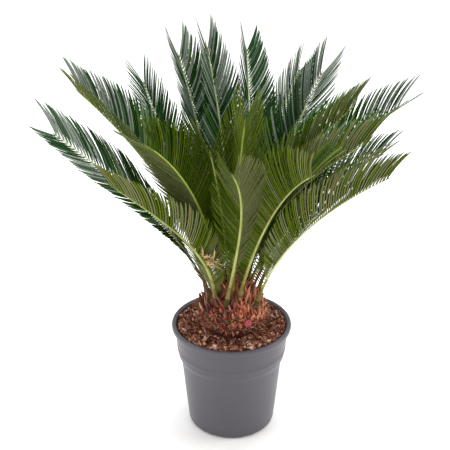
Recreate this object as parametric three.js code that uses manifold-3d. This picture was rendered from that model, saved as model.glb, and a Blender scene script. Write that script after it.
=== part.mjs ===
// A sago palm in a round nursery pot: a short scaly caudex that carries a rosette of arching feather fronds.
// Millimetres, +Z up. The origin is the middle of the pot's flat underside and -Y is the front.
import * as THREE from "three";
import Module from "manifold-3d";

const wasm = await Module();
wasm.setup();

// Driving dimensions: pot
const POT_HEIGHT = 182;
const LIP_RADIUS = 96.3;
const LIP_DROP = 7;
const COLLAR_RADIUS = 90;
const COLLAR_FOOT_RADIUS = 86;
const COLLAR_FOOT_Z = 126;
const BODY_TOP_RADIUS = 81.5;
const BODY_TOP_Z = 119;
const BODY_FOOT_RADIUS = 70.5;
const BODY_FOOT_Z = 6;
const FOOT_RADIUS = 66;
const BEAD_Z = 138;
const POT_WALL = 1.8;
const POT_FLOOR = 2.6;
const POT_SEGMENTS = 40;
const NOTCH_COUNT = 8;
const NOTCH_WIDTH = 13;
const NOTCH_HEIGHT = 5.5;
const NOTCH_INNER_RADIUS = 58;

// Driving dimensions: soil
const SOIL_Z = 176;
const SOIL_GAP = 0.35;
const SOIL_RELIEF = 1.6;
const SOIL_SEGMENTS = 32;

// Driving dimensions: caudex
const CAUDEX_GAP = 0.35;
const CAUDEX_FOOT_RADIUS = 43;
const CAUDEX_RADIUS = 55;
const CAUDEX_WAIST_Z = 201;
const CROWN_TOP_Z = 240;
const CAUDEX_SEGMENTS = 28;
const SCALE_COUNT = 74;
const SCALE_LENGTH = 21;
const SCALE_WIDTH = 11;
const SCALE_THICKNESS = 7;
const BULBIL_RADIUS = 6;
const BULBIL_TURN = -64;
const BULBIL_RISE = 30;
const GOLDEN_ANGLE = 137.508;

// Driving dimensions: fronds
const SEAT_RADIUS = 50;
const SEAT_HEIGHT = 38;
const SEAT_CENTRE_Z = SOIL_Z + 24;
const FOOT_SINK = 7;
const FOOT_GAP = 0.35;
const PETIOLE_SHARE = 0.16;
const PETIOLE_STEPS = 4;
const LEAFLET_PITCH = 18.5;
const LEAFLET_LENGTH = 96;
const LEAFLET_FILL = 0.78;
const LEAFLET_THICKNESS = 1.3;
const LEAFLET_BEND = 21;
const LEAFLET_CLEAR = 0.5;
const LEAFLET_TRIES = [1, 0.84, 0.68, 0.52, 0.36];
const RIB_FOOT_HALF = 3.7;
const RIB_TIP_HALF = 1.1;
const TIP_POINT = 16;

// The sizes of one frond: where it leaves the crown (degrees round it and down from its top), where it heads,
// how far it leans at the foot, how much further it arches over by the tip and its rib length. The others are
// the sideways swing of its heading, its roll and twist about the rib, how early the arch comes in (1 is
// even, less is earlier), how far its leaflets lift above the rib at the foot, how far their V closes by the
// tip and how long they are against the usual length.
const frond = (name, seat, heading, lean, arch, rib, others = {}) => ({
  name: `frond_${name}`,
  seat,
  heading,
  lean,
  arch,
  rib,
  swing: 0,
  roll: 0,
  twist: 0,
  ease: 1.2,
  lift: 34,
  cup: 8,
  reach: 1,
  ...others,
});

const FRONDS = [
  frond("back_1", [125, 30], 122, 9, 24, 376, { swing: 1, roll: 5, reach: 0.88 }),
  frond("back_2", [90, 25], 104, 5, 29, 384, { swing: 8, roll: 2, twist: -4, cup: 26, reach: 0.84 }),
  frond("back_3", [60, 38], 76, 19.5, 23.5, 393, { swing: 20, roll: 28, cup: 10, reach: 0.8 }),
  frond("back_4", [66, 59], 67, 23, 32, 388, {
    swing: -3, roll: 14, twist: 26, ease: 1.24, lift: 30, cup: 18, reach: 0.8,
  }),
  frond("back_5", [42, 38], 43, 17, 23, 366, { swing: 3, roll: 34, cup: 18, reach: 0.94 }),
  frond("back_6", [105, 60], 101, 27, 27, 380, { roll: 6, cup: 16, reach: 1.05 }),
  frond("back_7", [80, 62], 80, 32, 30, 310),
  frond("right_1", [0, 8], 357, 7.5, 40, 354, {
    swing: 6, roll: 6, twist: -24, ease: 0.86, lift: 38, cup: 18, reach: 0.86,
  }),
  frond("right_2", [17, 29], 5, 19, 37, 381, { roll: -6, twist: 32, ease: 1.06, lift: 42, reach: 0.92 }),
  frond("right_3", [-56, 18], -37, 13, 41, 364, { swing: 13, roll: -2, ease: 0.92, lift: 38, cup: 24 }),
  frond("right_4", [-23, 34], -22, 19, 36, 340, {
    roll: 8, twist: 6, ease: 1.1, lift: 38, cup: 10, reach: 0.78,
  }),
  frond("right_5", [-31, 60], -55, 17, 39, 358, {
    swing: 31, roll: 6, twist: -10, ease: 0.94, lift: 42, cup: 38, reach: 0.8,
  }),
  frond("right_6", [25, 60], 34, 24, 30, 290, { roll: 8, twist: 8, cup: 6, reach: 1.12 }),
  frond("front_1", [-85, 25], -84, 10, 25, 370, { roll: -10, lift: 50, cup: 16, reach: 0.95 }),
  frond("front_2", [-106, 42], -67, 21, 30, 384, { swing: -37, ease: 1.1, cup: 20, reach: 0.82 }),
  frond("front_3", [-73, 36], -57, 20, 40, 382, { swing: -15, ease: 1.4, cup: 16, reach: 1.15 }),
  frond("front_4", [250, 10], 255, 12, 20, 300),
  frond("left_1", [200, 42], 213, 15, 41, 368, {
    swing: -44, roll: -10, twist: -2, ease: 0.7, lift: -8, cup: 30, reach: 1.05,
  }),
  frond("left_2", [224, 44], 260, 12, 42, 310, { swing: -84, roll: 24, ease: 0.65, cup: 14, reach: 0.6 }),
  frond("left_3", [170, 26], 179, 13, 34, 390, {
    swing: -4, roll: -2, twist: -8, ease: 0.8, lift: 12, cup: 46, reach: 0.9,
  }),
  frond("left_4", [228, 30], 237, 9, 44, 358, { swing: -3, ease: 1.28 }),
  frond("left_5", [135, 50], 130, 29, 20, 367, {
    swing: -15, roll: -5, twist: -12, lift: 42, cup: 22, reach: 0.8,
  }),
  frond("left_6", [155, 55], 150, 18, 30, 330, { roll: 4, lift: 40 }),
];

const rad = THREE.MathUtils.degToRad;
const v3 = (x, y, z) => new THREE.Vector3(x, y, z);
const mix = (a, b, t) => a + (b - a) * t;
const blend = (a, partOfA, b, partOfB) => a.clone().multiplyScalar(partOfA).addScaledVector(b, partOfB);

// A repeatable stream of numbers from 0 to 1.
function seeded(seed) {
  let state = seed;
  return () => {
    state = (state * 1664525 + 1013904223) % 4294967296;
    return state / 4294967296;
  };
}

// A closed manifold solid from points and triangles.
function solid(points, triangles) {
  const vertProperties = new Float32Array(points.flatMap((p) => [p.x, p.y, p.z]));
  const triVerts = new Uint32Array(triangles);
  return new wasm.Manifold(new wasm.Mesh({ numProp: 3, vertProperties, triVerts }));
}

// A solid of revolution about Z. The profile runs [radius, z] from the foot of the axis to its top.
function turned(profile, segments) {
  const points = [];
  const triangles = [];
  const rows = profile.map(([radius, z]) => {
    const count = radius === 0 ? 1 : segments;
    const first = points.length;
    for (let i = 0; i < count; i++) {
      const angle = (2 * Math.PI * i) / segments;
      points.push(v3(radius * Math.cos(angle), radius * Math.sin(angle), z));
    }
    return (i) => first + (i % count);
  });
  for (let j = 0; j + 1 < rows.length; j++) {
    for (let i = 0; i < segments; i++) {
      const low = [rows[j](i), rows[j](i + 1)];
      const high = [rows[j + 1](i), rows[j + 1](i + 1)];
      if (low[0] !== low[1]) triangles.push(low[0], low[1], high[1]);
      if (high[0] !== high[1]) triangles.push(low[0], high[1], high[0]);
    }
  }
  return solid(points, triangles);
}

// A box between two corners, turned about Z.
function turnedBox(low, high, angle) {
  const shape = new THREE.BoxGeometry(high.x - low.x, high.y - low.y, high.z - low.z);
  shape.translate((low.x + high.x) / 2, (low.y + high.y) / 2, (low.z + high.z) / 2);
  shape.rotateZ(angle);
  const corners = [];
  const indexOf = new Map();
  const position = shape.getAttribute("position");
  const triangles = [...shape.index.array].map((i) => {
    const p = v3().fromBufferAttribute(position, i);
    const key = p.toArray().map((x) => x.toFixed(4)).join();
    if (!indexOf.has(key)) {
      indexOf.set(key, corners.length);
      corners.push(p);
    }
    return indexOf.get(key);
  });
  return solid(corners, triangles);
}

function wallRadius(z) {
  const steps = [
    [0, FOOT_RADIUS],
    [BODY_FOOT_Z, BODY_FOOT_RADIUS],
    [BODY_TOP_Z, BODY_TOP_RADIUS],
    [COLLAR_FOOT_Z, COLLAR_FOOT_RADIUS],
    [POT_HEIGHT - 26, COLLAR_RADIUS],
    [POT_HEIGHT, COLLAR_RADIUS],
  ];
  const next = Math.max(1, steps.findIndex(([height]) => height >= z));
  const [z0, r0] = steps[next - 1];
  const [z1, r1] = steps[next];
  return mix(r0, r1, (z - z0) / (z1 - z0));
}

function buildPot() {
  const outside = [
    [0, 0],
    [FOOT_RADIUS, 0],
    [BODY_FOOT_RADIUS, BODY_FOOT_Z],
    [BODY_TOP_RADIUS, BODY_TOP_Z],
    [COLLAR_FOOT_RADIUS, COLLAR_FOOT_Z],
    [wallRadius(BEAD_Z) - 0.2, BEAD_Z - 1.6],
    [wallRadius(BEAD_Z) + 0.9, BEAD_Z],
    [wallRadius(BEAD_Z) + 0.2, BEAD_Z + 1.6],
    [COLLAR_RADIUS, POT_HEIGHT - 26],
    [COLLAR_RADIUS, POT_HEIGHT - LIP_DROP - 3],
    [LIP_RADIUS - 0.6, POT_HEIGHT - LIP_DROP],
    [LIP_RADIUS, POT_HEIGHT - 2.5],
    [LIP_RADIUS - 1.2, POT_HEIGHT],
  ];
  const inside = [
    [COLLAR_RADIUS + 1.2, POT_HEIGHT],
    [COLLAR_RADIUS - POT_WALL, POT_HEIGHT - 3],
    [COLLAR_RADIUS - POT_WALL, POT_HEIGHT - 26],
    [COLLAR_FOOT_RADIUS - POT_WALL, COLLAR_FOOT_Z],
    [BODY_TOP_RADIUS - POT_WALL, BODY_TOP_Z],
    [BODY_FOOT_RADIUS - POT_WALL, BODY_FOOT_Z],
    [BODY_FOOT_RADIUS - POT_WALL - 1.5, POT_FLOOR],
    [0, POT_FLOOR],
  ];
  let pot = turned([...outside, ...inside], POT_SEGMENTS);
  for (let i = 0; i < NOTCH_COUNT; i++) {
    const low = v3(NOTCH_INNER_RADIUS, -NOTCH_WIDTH / 2, -1);
    const high = v3(BODY_FOOT_RADIUS + 6, NOTCH_WIDTH / 2, NOTCH_HEIGHT);
    pot = pot.subtract(turnedBox(low, high, (2 * Math.PI * (i + 0.5)) / NOTCH_COUNT));
  }
  return pot;
}

// A plug that fills the pot to the soil line, with low relief round the caudex.
function buildSoil() {
  const random = seeded(11);
  const inner = (z) => wallRadius(z) - POT_WALL - SOIL_GAP;
  const profile = [
    [0, POT_FLOOR + SOIL_GAP],
    [BODY_FOOT_RADIUS - POT_WALL - 1.5 - 2 * SOIL_GAP, POT_FLOOR + SOIL_GAP],
    [inner(BODY_FOOT_Z) - SOIL_GAP, BODY_FOOT_Z + SOIL_GAP],
    [inner(BODY_TOP_Z), BODY_TOP_Z + SOIL_GAP],
    [inner(COLLAR_FOOT_Z), COLLAR_FOOT_Z + SOIL_GAP],
    [inner(POT_HEIGHT - 26), POT_HEIGHT - 26],
    [inner(POT_HEIGHT - 26), SOIL_Z + 1],
    [82, SOIL_Z + 1],
    [74, SOIL_Z + 0.5],
    [66, SOIL_Z],
    [CAUDEX_RADIUS + 2, SOIL_Z],
    [0, SOIL_Z],
  ];
  return turned(profile, SOIL_SEGMENTS).warp((p) => {
    const radius = Math.hypot(p[0], p[1]);
    if (p[2] > SOIL_Z - 3 && radius > CAUDEX_RADIUS + 4) {
      p[2] += SOIL_RELIEF * (2 * random() - 1);
    }
  });
}

// The caudex without its scales, grown outwards by a gap.
function caudexCore(gap) {
  const foot = SOIL_Z + CAUDEX_GAP;
  const profile = [
    [0, foot - gap],
    [CAUDEX_FOOT_RADIUS + gap, foot - gap],
  ];
  for (const share of [0.3, 0.7]) {
    const swell = Math.sin((share * Math.PI) / 2);
    const radius = mix(CAUDEX_FOOT_RADIUS, CAUDEX_RADIUS, swell);
    profile.push([radius + gap, mix(foot, CAUDEX_WAIST_Z, share)]);
  }
  for (const angle of [0, 20, 40, 57, 72]) {
    const radius = CAUDEX_RADIUS * Math.cos(rad(angle));
    const rise = (CROWN_TOP_Z - CAUDEX_WAIST_Z) * Math.sin(rad(angle));
    profile.push([radius + gap * Math.cos(rad(angle)), CAUDEX_WAIST_Z + rise + gap * Math.sin(rad(angle))]);
  }
  profile.push([0, CROWN_TOP_Z + gap]);
  return turned(profile, CAUDEX_SEGMENTS);
}

// The rib of a frond as places with a direction, an upper side and a right side.
function ribOf(frond) {
  const steps = 96;
  const [round, down] = frond.seat.map(rad);
  const directionAt = (t) => {
    const tilt = rad(frond.lean + frond.arch * Math.pow(Math.max(t, 0), frond.ease));
    const turn = rad(frond.heading + frond.swing * t);
    const along = v3(Math.sin(tilt) * Math.cos(turn), Math.sin(tilt) * Math.sin(turn), Math.cos(tilt));
    const upper = v3(-Math.cos(tilt) * Math.cos(turn), -Math.cos(tilt) * Math.sin(turn), Math.sin(tilt));
    const right = along.clone().cross(upper);
    const roll = rad(frond.roll * THREE.MathUtils.smoothstep(t, 0, 0.35) + frond.twist * Math.max(t, 0));
    return { along, upper: upper.applyAxisAngle(along, roll), right: right.applyAxisAngle(along, roll) };
  };
  const place = v3(
    SEAT_RADIUS * Math.sin(down) * Math.cos(round),
    SEAT_RADIUS * Math.sin(down) * Math.sin(round),
    SEAT_CENTRE_Z + SEAT_HEIGHT * Math.cos(down),
  );
  const places = [place.clone()];
  for (let i = 0; i < steps; i++) {
    place.addScaledVector(directionAt((i + 0.5) / steps).along, frond.rib / steps);
    places.push(place.clone());
  }
  return (t) => {
    const frame = directionAt(t);
    const whole = THREE.MathUtils.clamp(Math.floor(t * steps), 0, steps - 1);
    frame.place = places[whole].clone().lerp(places[whole + 1], t * steps - whole);
    return frame;
  };
}

const leafletLength = (u) =>
  LEAFLET_LENGTH * (u < 0.42 ? 1 - 0.84 * (1 - u / 0.42) ** 1.5 : 1 - 0.4 * ((u - 0.42) / 0.58) ** 2);
const leafletAngle = (u) => 70 - 40 * Math.pow(u, 0.9);

// The ring of five rib points at a station, in order round it: left top, left bottom, keel, right bottom and
// right top.
function ribRing(frame, t) {
  const half = mix(RIB_FOOT_HALF, RIB_TIP_HALF, Math.max(t, 0));
  const wall = Math.min(LEAFLET_THICKNESS * 0.62, half * 0.8);
  const at = (side, height) =>
    frame.place.clone().addScaledVector(frame.right, side * half).addScaledVector(frame.upper, height);
  return [at(-1, wall), at(-1, -wall), at(0, -half * 1.1 - wall), at(1, -wall), at(1, wall)];
}

// One leaflet that stands on a side wall of the rib between two stations: the middle ring and the tip.
function leafletOf(plan, u, span, side, share) {
  const t = mix(PETIOLE_SHARE, 1, u);
  const frame = plan.rib(t);
  const half = mix(RIB_FOOT_HALF, RIB_TIP_HALF, t);
  const lift = rad(plan.frond.lift + plan.frond.cup * u);
  const { upper, right } = frame;
  const sideways = blend(right, side * Math.cos(lift), upper, Math.sin(lift));
  const face = blend(upper, Math.cos(lift), right, -side * Math.sin(lift));
  const length = leafletLength(u) * plan.frond.reach * share;
  const heading = (bend) => {
    const angle = rad(leafletAngle(u) - LEAFLET_BEND * bend);
    const ahead = blend(frame.along, Math.cos(angle), sideways, Math.sin(angle));
    const across = blend(frame.along, Math.sin(angle), sideways, -Math.cos(angle));
    return { ahead, across, slant: Math.sin(angle) };
  };
  const inner = heading(0.25);
  const outer = heading(0.75);
  const root = frame.place.clone().addScaledVector(frame.right, side * half);
  const middle = root.clone().addScaledVector(inner.ahead, 0.52 * length);
  const tip = middle.clone().addScaledVector(outer.ahead, 0.48 * length);
  const ring = (grown) => {
    const width = 0.5 * LEAFLET_FILL * span * inner.slant + grown;
    const thick = LEAFLET_THICKNESS / 2 + grown;
    const at = (forward, top) =>
      middle.clone().addScaledVector(inner.across, forward * width).addScaledVector(face, top * thick);
    const first = side < 0 ? 1 : -1;
    return [at(-1, first), at(1, first), at(1, -first), at(-1, -first)];
  };
  return { ring, tip, point: (grown) => tip.clone().addScaledVector(outer.ahead, grown) };
}

// The faces of a leaflet from the four wall corners, over its middle ring, to its tip.
function leafletFaces(wall, ring, tip) {
  const faces = [];
  for (let i = 0; i < 4; i++) {
    const j = (i + 1) % 4;
    faces.push([wall[i], wall[j], ring[j]], [wall[i], ring[j], ring[i]], [ring[i], ring[j], tip]);
  }
  return faces;
}

// Whether the segment from a to b passes through a triangle.
function crosses(a, b, triangle) {
  const ray = b.clone().sub(a);
  const edge1 = triangle[1].clone().sub(triangle[0]);
  const edge2 = triangle[2].clone().sub(triangle[0]);
  const h = ray.clone().cross(edge2);
  const scale = edge1.dot(h);
  if (Math.abs(scale) < 1e-9) return false;
  const from = a.clone().sub(triangle[0]);
  const first = from.dot(h) / scale;
  if (first < 0 || first > 1) return false;
  const q = from.cross(edge1);
  const second = ray.dot(q) / scale;
  if (second < 0 || first + second > 1) return false;
  const reach = edge2.dot(q) / scale;
  return reach >= 0 && reach <= 1;
}

// A set of triangles with its own bounding box and a box for each triangle.
function hull(owner, faces) {
  const boxes = faces.map((face) => new THREE.Box3().setFromPoints(face));
  const box = boxes.reduce((all, one) => all.union(one), new THREE.Box3());
  return { owner, faces, boxes, box };
}

function hullsMeet(one, two) {
  if (!one.box.intersectsBox(two.box)) return false;
  for (let i = 0; i < one.faces.length; i++) {
    if (!one.boxes[i].intersectsBox(two.box)) continue;
    for (let j = 0; j < two.faces.length; j++) {
      if (!one.boxes[i].intersectsBox(two.boxes[j])) continue;
      const a = one.faces[i];
      const b = two.faces[j];
      for (let k = 0; k < 3; k++) {
        if (crosses(a[k], a[(k + 1) % 3], b) || crosses(b[k], b[(k + 1) % 3], a)) return true;
      }
    }
  }
  return false;
}

function ringFaces(low, high) {
  return low.flatMap((a, i) => {
    const j = (i + 1) % low.length;
    return [
      [a, high[i], high[j]],
      [a, high[j], low[j]],
    ];
  });
}

// The stations of a frond along its rib: the petiole from inside the crown, then one for each leaflet pair.
function planFrond(frond) {
  const rib = ribOf(frond);
  const pairs = Math.round((frond.rib * (1 - PETIOLE_SHARE)) / LEAFLET_PITCH);
  const shares = [-FOOT_SINK / frond.rib];
  for (let i = 1; i < PETIOLE_STEPS; i++) {
    shares.push((PETIOLE_SHARE * i) / PETIOLE_STEPS);
  }
  for (let i = 0; i <= pairs; i++) {
    shares.push(mix(PETIOLE_SHARE, 1, i / pairs));
  }
  const rings = shares.map((t) => ribRing(rib(t), t));
  const end = rib(1);
  const point = end.place.clone().addScaledVector(end.along, TIP_POINT);
  const ribHull = hull(frond.name, rings.slice(1).flatMap((ring, i) => ringFaces(rings[i], ring)));
  return { frond, rib, pairs, rings, point, ribHull, leaflets: new Map() };
}

// Leaflets are placed from the tips of all fronds inwards. One that would meet another frond is shortened or
// left out.
function placeLeaflets(plans) {
  const taken = plans.map((plan) => plan.ribHull);
  const most = Math.max(...plans.map((plan) => plan.pairs));
  for (let fromTip = 0; fromTip < most; fromTip++) {
    for (const plan of plans) {
      const index = plan.pairs - 1 - fromTip;
      if (index < 0) continue;
      for (const side of [-1, 1]) {
        const wall = wallCorners(plan, index, side);
        const span = (plan.frond.rib * (1 - PETIOLE_SHARE)) / plan.pairs;
        for (const share of LEAFLET_TRIES) {
          const leaflet = leafletOf(plan, (index + 0.5) / plan.pairs, span, side, share);
          const faces = leafletFaces(wall, leaflet.ring(LEAFLET_CLEAR), leaflet.point(LEAFLET_CLEAR));
          const grown = hull(plan.frond.name, faces);
          if (taken.some((other) => other.owner !== plan.frond.name && hullsMeet(grown, other))) continue;
          taken.push(hull(plan.frond.name, leafletFaces(wall, leaflet.ring(0), leaflet.tip)));
          plan.leaflets.set(`${index},${side}`, leaflet);
          break;
        }
      }
    }
  }
  return taken;
}

function wallCorners(plan, index, side) {
  const low = plan.rings[PETIOLE_STEPS + index];
  const high = plan.rings[PETIOLE_STEPS + index + 1];
  return side < 0 ? [low[0], high[0], high[1], low[1]] : [low[3], high[3], high[4], low[4]];
}

// The closed blade of one frond: a keeled rib whose side walls carry the leaflets.
function buildFrond(plan, crown) {
  const points = [];
  const triangles = [];
  const add = (p) => points.push(p) - 1;
  const rings = plan.rings.map((ring) => ring.map(add));
  const foot = rings[0];
  triangles.push(foot[0], foot[1], foot[2], foot[0], foot[2], foot[3], foot[0], foot[3], foot[4]);
  for (let k = 0; k + 1 < rings.length; k++) {
    const low = rings[k];
    const high = rings[k + 1];
    for (let i = 0; i < 5; i++) {
      const j = (i + 1) % 5;
      const side = i === 0 ? -1 : i === 3 ? 1 : 0;
      const leaflet = side && plan.leaflets.get(`${k - PETIOLE_STEPS},${side}`);
      if (!leaflet) {
        triangles.push(low[i], high[i], high[j], low[i], high[j], low[j]);
        continue;
      }
      const wall = [low[i], high[i], high[j], low[j]];
      triangles.push(...leafletFaces(wall, leaflet.ring(0).map(add), add(leaflet.tip)).flat());
    }
  }
  const end = rings[rings.length - 1];
  const point = add(plan.point);
  for (let i = 0; i < 5; i++) {
    triangles.push(end[i], point, end[(i + 1) % 5]);
  }
  return solid(points, triangles).subtract(crown);
}

// A scale is a wedge sunk in the caudex that points up and out.
function scaleFaces(place, outward, growth, length, width) {
  const across = growth.clone().cross(outward).normalize();
  const back = across.clone().cross(growth).normalize();
  const root = place.clone().addScaledVector(growth, -5).addScaledVector(outward, -3);
  const at = (side, depth) =>
    root.clone().add(blend(across, (side * width) / 2, back, (depth * SCALE_THICKNESS) / 2));
  const corners = [at(-1, -1), at(1, -1), at(1, 1), at(-1, 1)];
  const tip = place.clone().addScaledVector(growth, length);
  const faces = corners.map((corner, i) => [corner, corners[(i + 1) % 4], tip]);
  faces.push([corners[0], corners[2], corners[1]], [corners[0], corners[3], corners[2]]);
  return { points: [...corners, tip], faces };
}

function scaleSolid({ points, faces }) {
  const numbers = (corners) => corners.flat().map((p) => points.indexOf(p));
  const made = solid(points, numbers(faces));
  if (made.volume() > 0) return made;
  return solid(points, numbers(faces.map(([a, b, c]) => [a, c, b])));
}

// The caudex: a swollen core with a spiral of upright scales and one round bulbil, clear of every frond.
function buildCaudex(taken) {
  const random = seeded(5);
  let caudex = caudexCore(0);
  for (let i = 0; i < SCALE_COUNT; i++) {
    const share = i / (SCALE_COUNT - 1);
    const turn = rad(i * GOLDEN_ANGLE + 8 * (random() - 0.5));
    const climb = mix(-38, 62, share);
    const below = Math.max(0, -climb / 38);
    const rise = Math.max(0, rad(climb));
    const radius = CAUDEX_RADIUS * mix(1, 0.9, below) * Math.cos(rise);
    const z = mix(CAUDEX_WAIST_Z, SOIL_Z + 9, below) + 39 * Math.sin(rise);
    const outward = v3(Math.cos(turn), Math.sin(turn), 0);
    const lean = rad(mix(34, 12, share) + 8 * (random() - 0.5));
    const growth = blend(outward, Math.sin(lean), v3(0, 0, 1), Math.cos(lean));
    const place = outward.clone().multiplyScalar(radius).setZ(z);
    const length = SCALE_LENGTH * mix(0.75, 1.5, share) * (0.85 + 0.3 * random());
    for (const less of [1, 0.75, 0.5]) {
      const test = scaleFaces(place, outward, growth, length * less + 0.5, SCALE_WIDTH * less + 1);
      const grown = hull("caudex", test.faces);
      if (taken.some((other) => hullsMeet(grown, other))) continue;
      caudex = caudex.add(scaleSolid(scaleFaces(place, outward, growth, length * less, SCALE_WIDTH * less)));
      break;
    }
  }
  const bulbil = [];
  for (let i = 0; i <= 6; i++) {
    const angle = -Math.PI / 2 + (Math.PI * i) / 6;
    bulbil.push([i % 6 ? BULBIL_RADIUS * Math.cos(angle) : 0, BULBIL_RADIUS * Math.sin(angle)]);
  }
  const turn = rad(BULBIL_TURN);
  const seat = CAUDEX_RADIUS + 3;
  const place = [seat * Math.cos(turn), seat * Math.sin(turn), SOIL_Z + BULBIL_RISE];
  return caudex.add(turned(bulbil, 10).translate(place));
}

function meshOf(name, shape, colour, roughness) {
  const made = shape.getMesh();
  const stride = made.numProp;
  const position = new Float32Array(made.numVert * 3);
  for (let i = 0; i < made.numVert; i++) {
    position.set(made.vertProperties.subarray(i * stride, i * stride + 3), i * 3);
  }
  const geometry = new THREE.BufferGeometry();
  geometry.setAttribute("position", new THREE.BufferAttribute(position, 3));
  geometry.setIndex(new THREE.BufferAttribute(new Uint32Array(made.triVerts), 1));
  const mesh = new THREE.Mesh(geometry, new THREE.MeshStandardMaterial({ color: colour, roughness }));
  mesh.name = name;
  return mesh;
}

const plans = FRONDS.map(planFrond);
const taken = placeLeaflets(plans);
const crown = caudexCore(FOOT_GAP);

const palm = new THREE.Group();
palm.name = "sago_palm";
palm.add(meshOf("pot", buildPot(), 0x65636c, 0.45));
palm.add(meshOf("soil", buildSoil(), 0x4a3328, 0.95));
palm.add(meshOf("caudex", buildCaudex(taken), 0x7a4528, 0.9));
for (const plan of plans) {
  palm.add(meshOf(plan.frond.name, buildFrond(plan, crown), 0x3f6634, 0.6));
}

export default palm;
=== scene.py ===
"""Dresses a potted sago palm: feather fronds, a scaly caudex, bark compost and a moulded nursery pot.

Lengths are metres, +Z is up, -Y is the front, and the origin is the middle of the pot's flat underside.
"""

import logging
import math
from dataclasses import dataclass, field
from enum import Enum, IntEnum

import bmesh
import bpy
import numpy as np
from mathutils import Matrix, Vector, noise


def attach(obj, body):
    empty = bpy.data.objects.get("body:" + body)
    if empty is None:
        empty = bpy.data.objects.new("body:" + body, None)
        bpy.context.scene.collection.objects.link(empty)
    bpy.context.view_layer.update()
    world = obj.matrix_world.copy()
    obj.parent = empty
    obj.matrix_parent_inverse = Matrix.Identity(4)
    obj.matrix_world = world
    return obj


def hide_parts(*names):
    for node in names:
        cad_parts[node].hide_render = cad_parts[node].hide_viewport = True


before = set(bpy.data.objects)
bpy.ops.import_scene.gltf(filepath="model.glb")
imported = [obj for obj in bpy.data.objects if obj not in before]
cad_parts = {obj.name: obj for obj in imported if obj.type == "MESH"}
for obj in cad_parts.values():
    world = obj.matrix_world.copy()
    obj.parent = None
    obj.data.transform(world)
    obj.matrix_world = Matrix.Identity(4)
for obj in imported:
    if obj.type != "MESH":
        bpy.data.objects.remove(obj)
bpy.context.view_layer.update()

log = logging.getLogger("sago_palm")

Colour = tuple[float, float, float]
Point = tuple[float, float, float]
MM = 0.001
GOLDEN_ANGLE = math.radians(137.508)
UP = np.array([0.0, 0.0, 1.0])


# ---------------------------------------------------------------- finishes

# The noise behind the colour patches, and where on it the one tone ends and the other is full.
PATCH_NOISE = {"Detail": 4.0, "Roughness": 0.6}
TONES_BETWEEN = (0.36, 0.66)
GRAIN_DETAIL = 3.0

# Painted shade along a blade's margins, for the shade between neighbouring blades: where it starts and is
# full, as shares of its half width, and the tone it darkens to.
MARGIN_SHADE_BETWEEN = (0.35, 0.85)
MARGIN_SHADE_TONE = (0.0, 0.004, 0.0, 1.0)


def tuned(node: bpy.types.Node, values: dict[str, object]) -> bpy.types.Node:
    """Sets constants on a node's inputs and returns the node."""
    for name, value in values.items():
        node.inputs[name].default_value = value
    return node


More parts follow.
